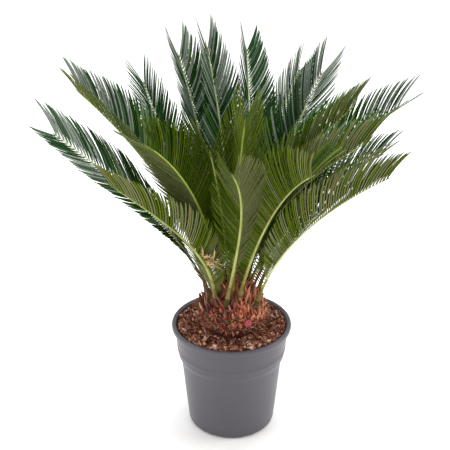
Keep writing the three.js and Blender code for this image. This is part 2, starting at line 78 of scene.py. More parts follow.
@dataclass(frozen=True)
class Finish:
    """A matt or satin surface whose colour wanders between two tones, with a fine relief.

    Attributes:
        name: The material's name.
        colour: The main base colour, linear.
        second: The tone that the colour wanders to, linear.
        roughness: The mean roughness.
        roughness_spread: How far the roughness wanders either way.
        patch: How many colour patches there are to a metre.
        relief: The height of the fine relief.
        relief_patch: How many bumps of the relief there are to a metre.
        specular: The specular level.
        coat: The weight of a waxy coat.
        coat_roughness: The roughness of that coat.
        margin_shade: How much darker a blade of this finish is along its margins, painted shade for the
            shade between neighbouring blades.
    """

    name: str
    colour: Colour
    second: Colour
    roughness: float = 0.6
    roughness_spread: float = 0.08
    patch: float = 60.0
    relief: float = 0.0
    relief_patch: float = 600.0
    specular: float = 0.15
    coat: float = 0.0
    coat_roughness: float = 0.2
    margin_shade: float = 0.0

    def material(self) -> bpy.types.Material:
        """Returns the node material of this finish, made on the first call."""
        made = bpy.data.materials.get(self.name)
        if made:
            return made
        made = bpy.data.materials.new(self.name)
        made.use_nodes = True
        nodes, links = made.node_tree.nodes, made.node_tree.links
        shader = next(node for node in nodes if node.type == "BSDF_PRINCIPLED")
        tuned(shader, {"Specular IOR Level": self.specular, "Coat Weight": self.coat,
                       "Coat Roughness": self.coat_roughness})
        place = nodes.new("ShaderNodeTexCoord").outputs["Object"]
        patches = tuned(nodes.new("ShaderNodeTexNoise"), {"Scale": self.patch, **PATCH_NOISE})
        links.new(place, patches.inputs["Vector"])
        ramp = nodes.new("ShaderNodeValToRGB")
        tones = (self.colour, self.second)
        for element, position, tone in zip(ramp.color_ramp.elements, TONES_BETWEEN, tones):
            element.position = position
            element.color = (*tone, 1.0)
        links.new(patches.outputs["Fac"], ramp.inputs["Fac"])
        links.new(self.painted_margin_shade(made, ramp.outputs["Color"]), shader.inputs["Base Color"])
        spread = tuned(nodes.new("ShaderNodeMapRange"), {
            "To Min": self.roughness - self.roughness_spread,
            "To Max": self.roughness + self.roughness_spread,
        })
        links.new(patches.outputs["Fac"], spread.inputs["Value"])
        links.new(spread.outputs["Result"], shader.inputs["Roughness"])
        if self.relief > 0:
            values = {"Scale": self.relief_patch, "Detail": GRAIN_DETAIL}
            grain = tuned(nodes.new("ShaderNodeTexNoise"), values)
            bump = tuned(nodes.new("ShaderNodeBump"), {"Distance": self.relief})
            links.new(place, grain.inputs["Vector"])
            links.new(grain.outputs["Fac"], bump.inputs["Height"])
            links.new(bump.outputs["Normal"], shader.inputs["Normal"])
        return made

    def painted_margin_shade(self, made: bpy.types.Material,
                       colour: bpy.types.NodeSocket) -> bpy.types.NodeSocket:
        """Paints shade along the margins of a blade by how far across it each point lies, for the shade
        between neighbouring blades.

        Args:
            made: The material.
            colour: The colour in the middle of the blade.

        Returns:
            The colour with its painted margin shade, or the same colour where the finish has none.
        """
        if self.margin_shade == 0:
            return colour
        nodes, links = made.node_tree.nodes, made.node_tree.links
        profile = nodes.new("ShaderNodeAttribute")
        profile.attribute_name = "profile"
        split = nodes.new("ShaderNodeSeparateXYZ")
        links.new(profile.outputs["Vector"], split.inputs["Vector"])
        from_middle = nodes.new("ShaderNodeMath")
        from_middle.operation = "ABSOLUTE"
        links.new(split.outputs["Y"], from_middle.inputs[0])
        starts, full = MARGIN_SHADE_BETWEEN
        values = {"From Min": starts, "From Max": full, "To Max": self.margin_shade}
        share = tuned(nodes.new("ShaderNodeMapRange"), values)
        links.new(from_middle.outputs[0], share.inputs["Value"])
        # The margins are mixed towards a dark tone: painted shade between neighbouring blades.
        mixed = nodes.new("ShaderNodeMix")
        mixed.data_type = "RGBA"
        factor, first, second = mixed.inputs[0], mixed.inputs[6], mixed.inputs[7]
        links.new(share.outputs["Result"], factor)
        links.new(colour, first)
        second.default_value = MARGIN_SHADE_TONE
        return mixed.outputs[2]


def leaf_upper(name: str, colour: Colour, second: Colour, gloss: float) -> Finish:
    """Returns the waxy upper face of a leaflet in one green."""
    return Finish(name, colour, second, roughness=0.40, patch=45, specular=0.20 * gloss, coat=0.05 * gloss,
                  coat_roughness=0.25, margin_shade=0.85)


def leaf_under(name: str, colour: Colour, second: Colour) -> Finish:
    """Returns the matt underside of a leaflet in one green."""
    return Finish(name, colour, second, roughness=0.62, patch=55, specular=0.03, margin_shade=1.0)


def stalk(name: str, colour: Colour, second: Colour, roughness: float, patch: float,
          specular: float = 0.2) -> Finish:
    """Returns the smooth skin of a rib or a petiole."""
    return Finish(name, colour, second, roughness, patch=patch, specular=specular)


def dry(name: str, colour: Colour, second: Colour, roughness: float, patch: float,
        relief: float = 0.0) -> Finish:
    """Returns dead plant stuff with a relief given in millimetres."""
    return Finish(name, colour, second, roughness, patch=patch, relief=relief * MM)


# The upper faces run from blue-green over green to olive, and each of these from deep to pale; the pale
# tones are painted sheen, and the deep ones are partly painted shade inside the crown.
LEVELS = 3
UPPER_FINISHES = (
    leaf_upper("leaf_blue_deep", (0.011, 0.04, 0.01), (0.017, 0.052, 0.015), 0.1),
    leaf_upper("leaf_blue", (0.034, 0.069, 0.031), (0.047, 0.087, 0.043), 0.5),
    leaf_upper("leaf_blue_pale", (0.146, 0.184, 0.141), (0.193, 0.233, 0.184), 1.0),
    leaf_upper("leaf_green_deep", (0.009, 0.04, 0.002), (0.015, 0.054, 0.003), 0.05),
    leaf_upper("leaf_green", (0.027, 0.072, 0.008), (0.038, 0.087, 0.011), 0.3),
    leaf_upper("leaf_green_pale", (0.081, 0.146, 0.045), (0.108, 0.175, 0.063), 0.8),
    leaf_upper("leaf_olive_deep", (0.038, 0.065, 0.002), (0.049, 0.076, 0.002), 0.05),
    leaf_upper("leaf_olive", (0.072, 0.103, 0.004), (0.087, 0.119, 0.007), 0.3),
    leaf_upper("leaf_olive_pale", (0.134, 0.168, 0.027), (0.168, 0.197, 0.04), 0.7),
)

# The undersides run from deep moss to straw; after them come the two of a backlit frond, lighter as
# painted light for light shining through its leaflets.
UNDER_LEVELS = 5
UNDER_FINISHES = (
    leaf_under("leaf_under_deep", (0.041, 0.071, 0.001), (0.052, 0.084, 0.002)),
    leaf_under("leaf_under_moss", (0.068, 0.107, 0.002), (0.084, 0.125, 0.003)),
    leaf_under("leaf_under_olive", (0.1, 0.137, 0.011), (0.116, 0.153, 0.017)),
    leaf_under("leaf_under_grey", (0.137, 0.166, 0.057), (0.155, 0.185, 0.071)),
    leaf_under("leaf_under_straw", (0.16, 0.164, 0.059), (0.182, 0.185, 0.071)),
    leaf_under("leaf_under_fresh", (0.1, 0.16, 0.003), (0.116, 0.178, 0.006)),
    leaf_under("leaf_under_fresh_pale", (0.128, 0.182, 0.011), (0.146, 0.201, 0.018)),
)
LEAF_BASE = stalk("leaflet_base", (0.22, 0.27, 0.12), (0.33, 0.39, 0.19), 0.5, 90)


class RibPart(IntEnum):
    """The parts of a rib by their finishes; GREEN, VIVID and the pale look are how its underside can look,
    and the pale look is painted light, as if lit from below.
    """

    FOOT = 0
    PETIOLE = 1
    LOW = 2
    GREEN = 3
    TIP = 4
    TOP = 5
    BROWN = 6
    VIVID = 7
    PALE = 8


RIB_FINISHES = {
    RibPart.FOOT: stalk("petiole_foot", (0.05, 0.034, 0.012), (0.11, 0.08, 0.024), 0.8, 160, 0.15),
    RibPart.PETIOLE: stalk("petiole_green", (0.12, 0.11, 0.016), (0.22, 0.17, 0.05), 0.42, 90),
    RibPart.LOW: stalk("rib_low", (0.21, 0.2, 0.035), (0.34, 0.31, 0.095), 0.38, 60),
    RibPart.GREEN: stalk("rib_green", (0.27, 0.3, 0.05), (0.4, 0.42, 0.12), 0.36, 30),
    RibPart.TIP: stalk("rib_tip", (0.12, 0.15, 0.02), (0.18, 0.21, 0.03), 0.4, 30),
    RibPart.TOP: stalk("rib_pale", (0.32, 0.39, 0.2), (0.44, 0.52, 0.3), 0.42, 60),
    RibPart.BROWN: stalk("petiole_brown", (0.06, 0.022, 0.012), (0.15, 0.07, 0.036), 0.8, 120, 0.15),
    RibPart.VIVID: stalk("rib_vivid", (0.3, 0.38, 0.03), (0.4, 0.48, 0.07), 0.42, 60, 0.3),
    # The pale side is painted light: an underside made as light as if lit from below.
    RibPart.PALE: stalk("rib_pale_side", (0.46, 0.5, 0.2), (0.6, 0.64, 0.34), 0.42, 60, 0.3),
}


class Brown(IntEnum):
    """The browns of the caudex, by their place in SCALE_FINISHES."""

    DARK = 0
    BROWN = 1
    RED = 2
    RUST = 3
    ORANGE = 4
    TAN = 5
    GREY_OLIVE = 6


SCALE_FINISHES = (
    dry("scale_dark", (0.036, 0.011, 0.008), (0.08, 0.024, 0.016), 0.85, 220, 0.4),
    dry("scale_brown", (0.16, 0.052, 0.032), (0.26, 0.094, 0.058), 0.85, 220, 0.4),
    dry("scale_red", (0.29, 0.054, 0.04), (0.42, 0.1, 0.074), 0.8, 200, 0.4),
    dry("scale_rust", (0.44, 0.118, 0.064), (0.6, 0.2, 0.11), 0.8, 200, 0.4),
    dry("scale_orange", (0.58, 0.19, 0.09), (0.7, 0.32, 0.18), 0.8, 200, 0.3),
    dry("scale_tan", (0.36, 0.2, 0.13), (0.48, 0.31, 0.22), 0.85, 200, 0.3),
    dry("scale_grey_olive", (0.07, 0.05, 0.024), (0.11, 0.08, 0.04), 0.9, 200, 0.4),
)
STRAW = dry("dead_straw", (0.44, 0.31, 0.12), (0.58, 0.44, 0.21), 0.7, 120)
CORE = Finish("caudex_bark", (0.042, 0.013, 0.009), (0.13, 0.04, 0.026), 0.9, patch=150, relief=1.2 * MM,
              relief_patch=300)
BULBIL = Finish("bulbil_pink", (0.32, 0.05, 0.052), (0.4, 0.1, 0.095), 0.5, patch=120, coat=0.1)

# Each finish of the chips, and how often it comes up.
CHIP_MIX = (
    (dry("chip_dark", (0.044, 0.01, 0.003), (0.084, 0.024, 0.01), 0.92, 300, 0.3), 0.3),
    (dry("chip_brown", (0.16, 0.054, 0.03), (0.23, 0.086, 0.05), 0.9, 300, 0.3), 0.28),
    (dry("chip_red_brown", (0.29, 0.11, 0.066), (0.38, 0.17, 0.11), 0.88, 300, 0.3), 0.23),
    (dry("chip_tan", (0.52, 0.31, 0.23), (0.66, 0.45, 0.36), 0.85, 300, 0.3), 0.14),
    (dry("chip_orange", (0.56, 0.24, 0.12), (0.66, 0.36, 0.21), 0.85, 300, 0.3), 0.05),
)
PEAT = dry("peat", (0.026, 0.007, 0.003), (0.07, 0.024, 0.012), 0.95, 260, 1.0)
POT_PLASTIC = Finish("pot_plastic", (0.066, 0.06, 0.076), (0.072, 0.066, 0.082), roughness=0.4,
                     roughness_spread=0.05, patch=9, relief=0.03 * MM, relief_patch=900, specular=0.5)


# ---------------------------------------------------------------- meshes


def new_piece(name: str, mesh: bpy.types.Mesh, replaced: tuple[str, ...] = ()) -> None:
    """Links a mesh as a piece of the plant that rides on its one body.

    Args:
        name: The piece's name.
        mesh: The mesh, with its place in its vertices.
        replaced: The CAD nodes that it stands for.
    """
    piece = bpy.data.objects.new(name, mesh)
    bpy.context.scene.collection.objects.link(piece)
    mesh.name = name
    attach(piece, "root")
    if replaced:
        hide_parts(*replaced)
    mesh.calc_loop_triangles()
    log.info("%s: %d triangles", name, len(mesh.loop_triangles))


def mesh_of(name: str, points: np.ndarray, faces: list[tuple[int, ...]]) -> bpy.types.Mesh:
    """Makes a mesh from points and faces.

    Args:
        name: The mesh's name.
        points: An array of N points.
        faces: The faces as tuples of point numbers, counter-clockwise from outside.

    Returns:
        The mesh, smooth shaded.
    """
    mesh = bpy.data.meshes.new(name)
    mesh.from_pydata(points.tolist(), [], faces)
    mesh.polygons.foreach_set("use_smooth", np.ones(len(mesh.polygons), bool))
    mesh.update()
    return mesh


def circle(radius: float, height: float, count: int) -> list[Point]:
    """Returns a ring of points round Z, or the one point on the axis where the radius is 0."""
    angles = [2 * math.pi * step / count for step in range(count if radius > 0 else 1)]
    return [(radius * math.cos(angle), radius * math.sin(angle), height) for angle in angles]


def skinned(name: str, rings: list[list[Point]], flipped: bool = False) -> bpy.types.Mesh:
    """Skins a stack of rings, each with the same number of points or with one point on the axis.

    Args:
        name: The mesh's name.
        rings: The rings, up the outside.
        flipped: Whether the faces look the other way.

    Returns:
        The mesh, closed where its first and last rings are single points.
    """
    columns = max(len(ring) for ring in rings)
    rows: list[list[int]] = []
    first = 0
    for ring in rings:
        rows.append([first + step % len(ring) for step in range(columns + 1)])
        first += len(ring)
    faces: list[tuple[int, ...]] = []
    for low, high in zip(rows, rows[1:]):
        for step in range(columns):
            face = tuple(dict.fromkeys((low[step], low[step + 1], high[step + 1], high[step])))
            faces.append(face[:1] + face[:0:-1] if flipped else face)
    return mesh_of(name, np.array([point for ring in rings for point in ring]), faces)


def turned(name: str, profile: list[tuple[float, float]], segments: int) -> bpy.types.Mesh:
    """Returns a closed mesh turned about Z from a profile of radii and heights, up the outside."""
    return skinned(name, [circle(radius, height, segments) for radius, height in profile])


def smoothstep(value: np.ndarray, low: float, high: float) -> np.ndarray:
    """Returns the smooth step from 0 at low to 1 at high."""
    share = np.clip((value - low) / (high - low), 0, 1)
    return share * share * (3 - 2 * share)


def between(ends: tuple[float, float], share: np.ndarray | float) -> np.ndarray | float:
    """Returns the values at shares of the way from the first end to the second."""
    return ends[0] + (ends[1] - ends[0]) * share


# ---------------------------------------------------------------- geometry nodes


class NodeTree:
    """A Geometry Nodes tree with a few words for its wiring."""

    def __init__(self, name: str) -> None:
        """Starts a tree that takes and gives geometry.

        Args:
            name: The tree's name.
        """
        self.tree = bpy.data.node_groups.new(name, "GeometryNodeTree")
        for way in ("INPUT", "OUTPUT"):
            self.tree.interface.new_socket(name="Geometry", in_out=way, socket_type="NodeSocketGeometry")
        self.entry = self.tree.nodes.new("NodeGroupInput")
        self.exit = self.tree.nodes.new("NodeGroupOutput")
        self.identifiers: dict[str, str] = {}

    def take(self, name: str, kind: str) -> bpy.types.NodeSocket:
        """Adds a named input to the tree.

        Args:
            name: The input's name.
            kind: The socket type, such as Float or Object.

        Returns:
            The input's socket inside the tree.
        """
        socket = self.tree.interface.new_socket(name=name, in_out="INPUT", socket_type="NodeSocket" + kind)
        self.identifiers[name] = socket.identifier
        return self.entry.outputs[name]

    def node(self, kind: str, wires: dict[str | int, object], **settings: object) -> bpy.types.Node:
        """Adds a node, sets it and wires its inputs.

        Args:
            kind: The node's type.
            wires: A socket or a plain value for each named or numbered input.
            **settings: Properties of the node.

        Returns:
            The node.
        """
        made = self.tree.nodes.new(kind)
        for key, value in settings.items():
            setattr(made, key, value)
        for key, value in wires.items():
            if isinstance(value, bpy.types.NodeSocket):
                self.tree.links.new(value, made.inputs[key])
            else:
                made.inputs[key].default_value = value
        return made

    def math(self, operation: str, *values: object) -> bpy.types.NodeSocket:
        """Returns the result of a Math node on up to three values."""
        return self.node("ShaderNodeMath", dict(enumerate(values)), operation=operation).outputs[0]

    def vector(self, operation: str, *values: object) -> bpy.types.NodeSocket:
        """Returns the result of a Vector Math node on vectors."""
        return self.node("ShaderNodeVectorMath", dict(enumerate(values)), operation=operation).outputs[0]

    def scaled(self, vector: bpy.types.NodeSocket, scale: object) -> bpy.types.NodeSocket:
        """Returns a vector times a number."""
        wires = {0: vector, "Scale": scale}
        return self.node("ShaderNodeVectorMath", wires, operation="SCALE").outputs[0]

    def attribute(self, name: str, kind: str) -> bpy.types.NodeSocket:
        """Returns the value of a named attribute of kind FLOAT, INT or FLOAT_VECTOR."""
        return self.node("GeometryNodeInputNamedAttribute", {"Name": name}, data_type=kind).outputs[0]

    def close(self, geometry: bpy.types.NodeSocket) -> None:
        """Wires the tree's output."""
        self.tree.links.new(geometry, self.exit.inputs[0])

    def grow(self, mesh: bpy.types.Mesh, values: dict[str, object]) -> bpy.types.Mesh:
        """Runs the tree on a mesh.

        Args:
            mesh: The mesh that the tree takes.
            values: A value for each named input.

        Returns:
            The result as a plain mesh.
        """
        carrier = bpy.data.objects.new("carrier", mesh)
        bpy.context.scene.collection.objects.link(carrier)
        modifier = carrier.modifiers.new("grow", "NODES")
        modifier.node_group = self.tree
        for name, value in values.items():
            modifier[self.identifiers[name]] = value
        depsgraph = bpy.context.evaluated_depsgraph_get()
        made = bpy.data.meshes.new_from_object(carrier.evaluated_get(depsgraph), depsgraph=depsgraph)
        bpy.data.objects.remove(carrier)
        return made


class Side(IntEnum):
    """The parts of a blade that take finishes of their own."""

    FRONT = 0
    BACK = 1
    ROOT = 2


# A finish's number is its side times the stride plus its tint; numbers within the slack are the same.
SIDE_STRIDE = 16
NUMBER_SLACK = 0.25


@dataclass(frozen=True)
class BladeShape:
    """The outline and section of one blade, drawn once for a length, half width and depth of 1.

    Attributes:
        name: The shape's name.
        stations: Share of the length, share of the half width and share of the depth at each ring.
        front: Across and up of the points of the front face, from one edge to the other.
        back: Across and up of the points of the back face between the same edges.
        root_rings: How many of the first rings are the root.
    """

    name: str
    stations: tuple[tuple[float, float, float], ...]
    front: tuple[tuple[float, float], ...]
    back: tuple[tuple[float, float], ...]
    root_rings: int = 0

    def carrier(self) -> bpy.types.Object:
        """Returns an unlinked object whose mesh holds the blade and its profile attributes."""
        ring = [*self.front, *self.back]
        size = len(ring)
        rows = [(share, across * half, up * deep)
                for share, half, deep in self.stations for across, up in ring]
        rows.append((1.0, 0.0, 0.0))
        faces: list[tuple[int, ...]] = [tuple(range(size))]
        sides = [int(Side.ROOT)]
        for row in range(len(self.stations)):
            for i in range(size):
                j = (i + 1) % size
                low = row * size
                on_front = i < len(self.front) - 1
                face_side = Side.FRONT if on_front else Side.BACK
                side = Side.ROOT if on_front and row < self.root_rings else face_side
                if row + 1 < len(self.stations):
                    faces.append((low + j, low + i, low + size + i, low + size + j))
                else:
                    faces.append((low + j, low + i, len(rows) - 1))
                sides.append(int(side))
        mesh = mesh_of(self.name, np.array(rows), faces)
        profile = mesh.attributes.new("profile", "FLOAT_VECTOR", "POINT")
        profile.data.foreach_set("vector", np.array(rows).ravel())
        mesh.attributes.new("side", "INT", "FACE").data.foreach_set("value", sides)
        edges = {0, len(self.front) - 1}
        for edge in mesh.edges:
            a, b = edge.vertices
            edge.use_edge_sharp = a % size in edges and (b % size in edges or b == len(rows) - 1)
        return bpy.data.objects.new(self.name, mesh)


@dataclass
class Blades:
    """Many blades of one shape, each with its own place, size and bend.

    Attributes:
        root: Where each blade starts.
        ahead: The way each blade sets out.
        across: The way each blade bends to, square to ahead.
        facing: The way each blade's front faces.
        length: Each blade's length.
        width: Each blade's half width.
        bend: How far each blade turns from ahead to across by its tip, in radians.
        curl: How far each blade's tip stands out of its plane, as a share of its length.
        front_tint: The number of each blade's front finish.
        back_tint: The number of each blade's back finish.
    """

    root: np.ndarray
    ahead: np.ndarray
    across: np.ndarray
    facing: np.ndarray
    length: np.ndarray
    width: np.ndarray
    bend: np.ndarray
    curl: np.ndarray
    front_tint: np.ndarray
    back_tint: np.ndarray

    VECTORS = ("root", "ahead", "across", "facing")
    FLOATS = ("length", "width", "bend", "curl")
    INTS = ("front_tint", "back_tint")

    @classmethod
    def joined(cls, parts: list["Blades"]) -> "Blades":
        """Returns the blades of several sets as one."""
        names = (*cls.VECTORS, *cls.FLOATS, *cls.INTS)
        return cls(**{name: np.concatenate([getattr(part, name) for part in parts]) for name in names})

    def points(self) -> bpy.types.Mesh:
        """Returns a mesh with one point and its attributes for each blade."""
        mesh = bpy.data.meshes.new("blade_points")
        mesh.from_pydata(self.root.tolist(), [], [])
        for name in self.VECTORS:
            layer = mesh.attributes.new(name, "FLOAT_VECTOR", "POINT")
            layer.data.foreach_set("vector", getattr(self, name).ravel())
        for name in self.FLOATS:
            mesh.attributes.new(name, "FLOAT", "POINT").data.foreach_set("value", getattr(self, name))
        for name in self.INTS:
            mesh.attributes.new(name, "INT", "POINT").data.foreach_set("value", getattr(self, name))
        return mesh


@dataclass(frozen=True)
class BladePalette:
    """The finishes of a set of blades, by the side of the blade and its tint.

    Attributes:
        front: The finishes of the fronts, by their tint.
        back: The finishes of the backs, by their tint.
        root: The finish of every blade's root.
    """

    front: tuple[Finish, ...]
    back: tuple[Finish, ...]
    root: Finish

    def numbered(self) -> list[tuple[int, Finish]]:
        """Returns each finish with the number that the blade tree knows it by."""
        sides = ((Side.FRONT, self.front), (Side.BACK, self.back), (Side.ROOT, (self.root,)))
        return [(int(side) * SIDE_STRIDE + tint, finish)
                for side, finishes in sides for tint, finish in enumerate(finishes)]


class BladeTree(NodeTree):
    """Sets a blade on every point, bends each by its point's attributes and paints its sides."""

    def __init__(self, name: str, palette: BladePalette) -> None:
        """Wires the tree.

        Args:
            name: The tree's name.
            palette: The finishes of the blades.
        """
        super().__init__(name)
        blade = self.take("Blade", "Object")
        depth = self.take("Depth", "Float")
        shape = self.node("GeometryNodeObjectInfo", {"Object": blade}).outputs["Geometry"]
        wires = {"Points": self.entry.outputs[0], "Instance": shape}
        placed = self.node("GeometryNodeInstanceOnPoints", wires).outputs[0]
        whole = self.node("GeometryNodeRealizeInstances", {0: placed}).outputs[0]
        split = self.node("ShaderNodeSeparateXYZ", {0: self.attribute("profile", "FLOAT_VECTOR")})
        share, side, up = split.outputs
        length = self.attribute("length", "FLOAT")
        bend = self.attribute("bend", "FLOAT")
        turn = self.math("MULTIPLY", share, bend)
        radius = self.math("DIVIDE", length, bend)
        sine = self.math("SINE", turn)
        cosine = self.math("COSINE", turn)
        forward = self.math("MULTIPLY", radius, sine)
        sideways = self.math("MULTIPLY", radius, self.math("SUBTRACT", 1.0, cosine))
        ahead = self.attribute("ahead", "FLOAT_VECTOR")
        across = self.attribute("across", "FLOAT_VECTOR")
        breadth = self.math("MULTIPLY", side, self.attribute("width", "FLOAT"))
        edge = self.vector("SUBTRACT", self.scaled(across, cosine), self.scaled(ahead, sine))
        curl = self.math("MULTIPLY", self.math("MULTIPLY", share, share), self.attribute("curl", "FLOAT"))
        rise = self.math("MULTIPLY_ADD", curl, length, self.math("MULTIPLY", up, depth))
        place = self.vector("ADD", self.attribute("root", "FLOAT_VECTOR"), self.scaled(ahead, forward))
        place = self.vector("ADD", place, self.scaled(across, sideways))
        place = self.vector("ADD", place, self.scaled(edge, breadth))
        place = self.vector("ADD", place, self.scaled(self.attribute("facing", "FLOAT_VECTOR"), rise))
        whole = self.node("GeometryNodeSetPosition", {"Geometry": whole, "Position": place}).outputs[0]
        paint = self.paint_number()
        for number, finish in palette.numbered():
            chosen = self.math("COMPARE", paint, float(number), NUMBER_SLACK)
            wires = {"Geometry": whole, "Selection": chosen, "Material": finish.material()}
            whole = self.node("GeometryNodeSetMaterial", wires).outputs[0]
        self.close(whole)

    def paint_number(self) -> bpy.types.NodeSocket:
        """Returns each face's finish number, from its side and its blade's tint for that side."""
        side = self.attribute("side", "INT")
        on_front = self.math("COMPARE", side, float(Side.FRONT), NUMBER_SLACK)
        on_back = self.math("COMPARE", side, float(Side.BACK), NUMBER_SLACK)
        front = self.math("MULTIPLY", on_front, self.attribute("front_tint", "INT"))
        back = self.math("MULTIPLY", on_back, self.attribute("back_tint", "INT"))
        return self.math("MULTIPLY_ADD", side, float(SIDE_STRIDE), self.math("ADD", front, back))


# ---------------------------------------------------------------- fronds


class Sector(Enum):
    """The side of the crown that a frond belongs to, which sets its colours."""

    BACK = "back"
    RIGHT = "right"
    FRONT = "front"
    LEFT = "left"


@dataclass(frozen=True)
class Greens:
    """How warm and how light the greens of a frond are.

    Attributes:
        warmth: The warmth of the upper faces at the foot and at the tip, 0 is blue-green and 1 is olive.
        light: The lightness of the upper faces at the foot and at the tip, 0 to 1; low values take the
            deep tones, partly painted shade, and high values the pale tones of painted sheen.
        under: The lightness of the undersides at the foot and at the tip, 0 is moss and 1 is straw.
    """

    warmth: tuple[float, float]
    light: tuple[float, float]
    under: tuple[float, float]


GREENS = {
    Sector.BACK: Greens((0.52, 0.12), (0.16, 0.58), (0.25, 0.45)),
    Sector.RIGHT: Greens((0.86, 0.25), (0.42, 0.78), (0.35, 0.66)),
    Sector.FRONT: Greens((0.80, 0.62), (0.35, 0.50), (0.30, 0.56)),
    Sector.LEFT: Greens((0.70, 0.15), (0.24, 0.72), (0.35, 0.62)),
}


@dataclass(frozen=True)
class RibFrames:
    """Places along a rib with the way it runs, its upper side and its right side."""

    place: np.ndarray
    along: np.ndarray
    upper: np.ndarray
    right: np.ndarray


# The dome that the fronds are seated on: its radius, its height and the height of its foot.
SEAT_RADIUS = 50 * MM
SEAT_HEIGHT = 38 * MM
SEAT_CENTRE = 200 * MM

# How finely a rib is followed, and the share of it by which its whole roll has come in.
RIB_STEPS = 96
ROLL_IN_BY = 0.35


@dataclass(frozen=True)
class Frond:
    """One feather frond: where it leaves the crown, how it arches, and the leaflets on its rib.

    Attributes:
        name: The frond's name, without the frond prefix of its node.
        sector: The side of the crown that it belongs to.
        seat: Degrees round the crown and down from its top.
        heading: The way it heads, degrees from +X.
        lean: How far it leans at the foot, degrees from upright.
        arch: How much further it leans by the tip, degrees.
        rib: The length of its rib.
        swing: How far its heading turns by the tip, degrees.
        roll: Its roll about the rib, degrees.
        ease: How early the arch comes in, 1 is even and less is earlier.
        cup: How far the V of its leaflets closes by the tip, degrees.
        twist: How far it twists about the rib from foot to tip, degrees.
        reach: The length of its leaflets against those of the largest frond.
        lift: How far its leaflets rise above the rib at its foot, degrees.
        droop: How far its leaflets droop at their tips, as a share of their length.
        fill: The width of its leaflets against those of its side of the crown.
        lightness_shift: How much paler its leaflets are than those of its sector, at the foot and the tip,
            which deals out more of the painted-sheen tones.
        grey: How much greyer their undersides are, at the foot and the tip.
        contrast: How much greyer the undersides of its left row are than those of its right row.
        foot: The length of the leaflets at its foot, as a share of the longest.
        petiole: The share of its rib below the leaflets.
        look: The look of its rib from below; the pale look is painted light, as if lit from below.
        left_row: The length of its left row of leaflets against its right one, at the tip.
        backlit: Whether its undersides take the two lighter tones, painted light for light shining through
            its leaflets.
        dry_foot: Whether its petiole has dried and turned brown.
    """

    name: str
    sector: Sector
    seat: tuple[float, float]
    heading: float
    lean: float
    arch: float
    rib: float
    swing: float = 0.0
    roll: float = 0.0
    ease: float = 1.2
    cup: float = 8.0
    twist: float = 0.0
    reach: float = 1.0
    lift: float = 34.0
    droop: float = 0.035
    fill: float = 1.0
    lightness_shift: tuple[float, float] = (0.0, 0.0)
    grey: tuple[float, float] = (0.0, 0.0)
    contrast: float = 0.0
    foot: float = 0.16
    petiole: float = 0.16
    look: RibPart = RibPart.GREEN
    left_row: float = 1.0
    backlit: bool = False
    dry_foot: bool = False

    @property
    def node(self) -> str:
        """The name of the CAD node that this frond stands for."""
        return "frond_" + self.name

    def directions(self, t: np.ndarray) -> tuple[np.ndarray, np.ndarray, np.ndarray]:
        """Gives the rib's own axes.

        Args:
            t: Shares of the rib's length.

        Returns:
            The way the rib runs, its upper side and its right side.
        """
        tilt = np.radians(self.lean + self.arch * np.maximum(t, 0) ** self.ease)
        turn = np.radians(self.heading + self.swing * t)
        level = np.stack([np.cos(turn), np.sin(turn), np.zeros_like(turn)], axis=1)
        along = level * np.sin(tilt)[:, None] + UP * np.cos(tilt)[:, None]
        upper = -level * np.cos(tilt)[:, None] + UP * np.sin(tilt)[:, None]
        right = np.cross(along, upper)
        roll = np.radians(self.roll * smoothstep(t, 0, ROLL_IN_BY) + self.twist * np.clip(t, 0, 1))
        cosine, sine = np.cos(roll)[:, None], np.sin(roll)[:, None]
        return along, upper * cosine + right * sine, right * cosine - upper * sine

    def frames(self, t: np.ndarray) -> RibFrames:
        """Gives the rib's places and axes.

        Args:
            t: Shares of the rib's length; a share below 0 is inside the crown.

        Returns:
            The frames at those shares.
        """
        round_crown, down = np.radians(self.seat)
        seat = np.array([
            SEAT_RADIUS * np.sin(down) * np.cos(round_crown),
            SEAT_RADIUS * np.sin(down) * np.sin(round_crown),
            SEAT_CENTRE + SEAT_HEIGHT * np.cos(down),
        ])
        steps = self.directions((np.arange(RIB_STEPS) + 0.5) / RIB_STEPS)[0] * self.rib / RIB_STEPS
        places = seat + np.concatenate([np.zeros((1, 3)), np.cumsum(steps, axis=0)])
        knots = np.arange(RIB_STEPS + 1) / RIB_STEPS
        place = np.stack([np.interp(t, knots, places[:, axis]) for axis in range(3)], axis=1)
        along, upper, right = self.directions(t)
        place = place + along * (np.minimum(t, 0) * self.rib)[:, None]
        return RibFrames(place, along, upper, right)


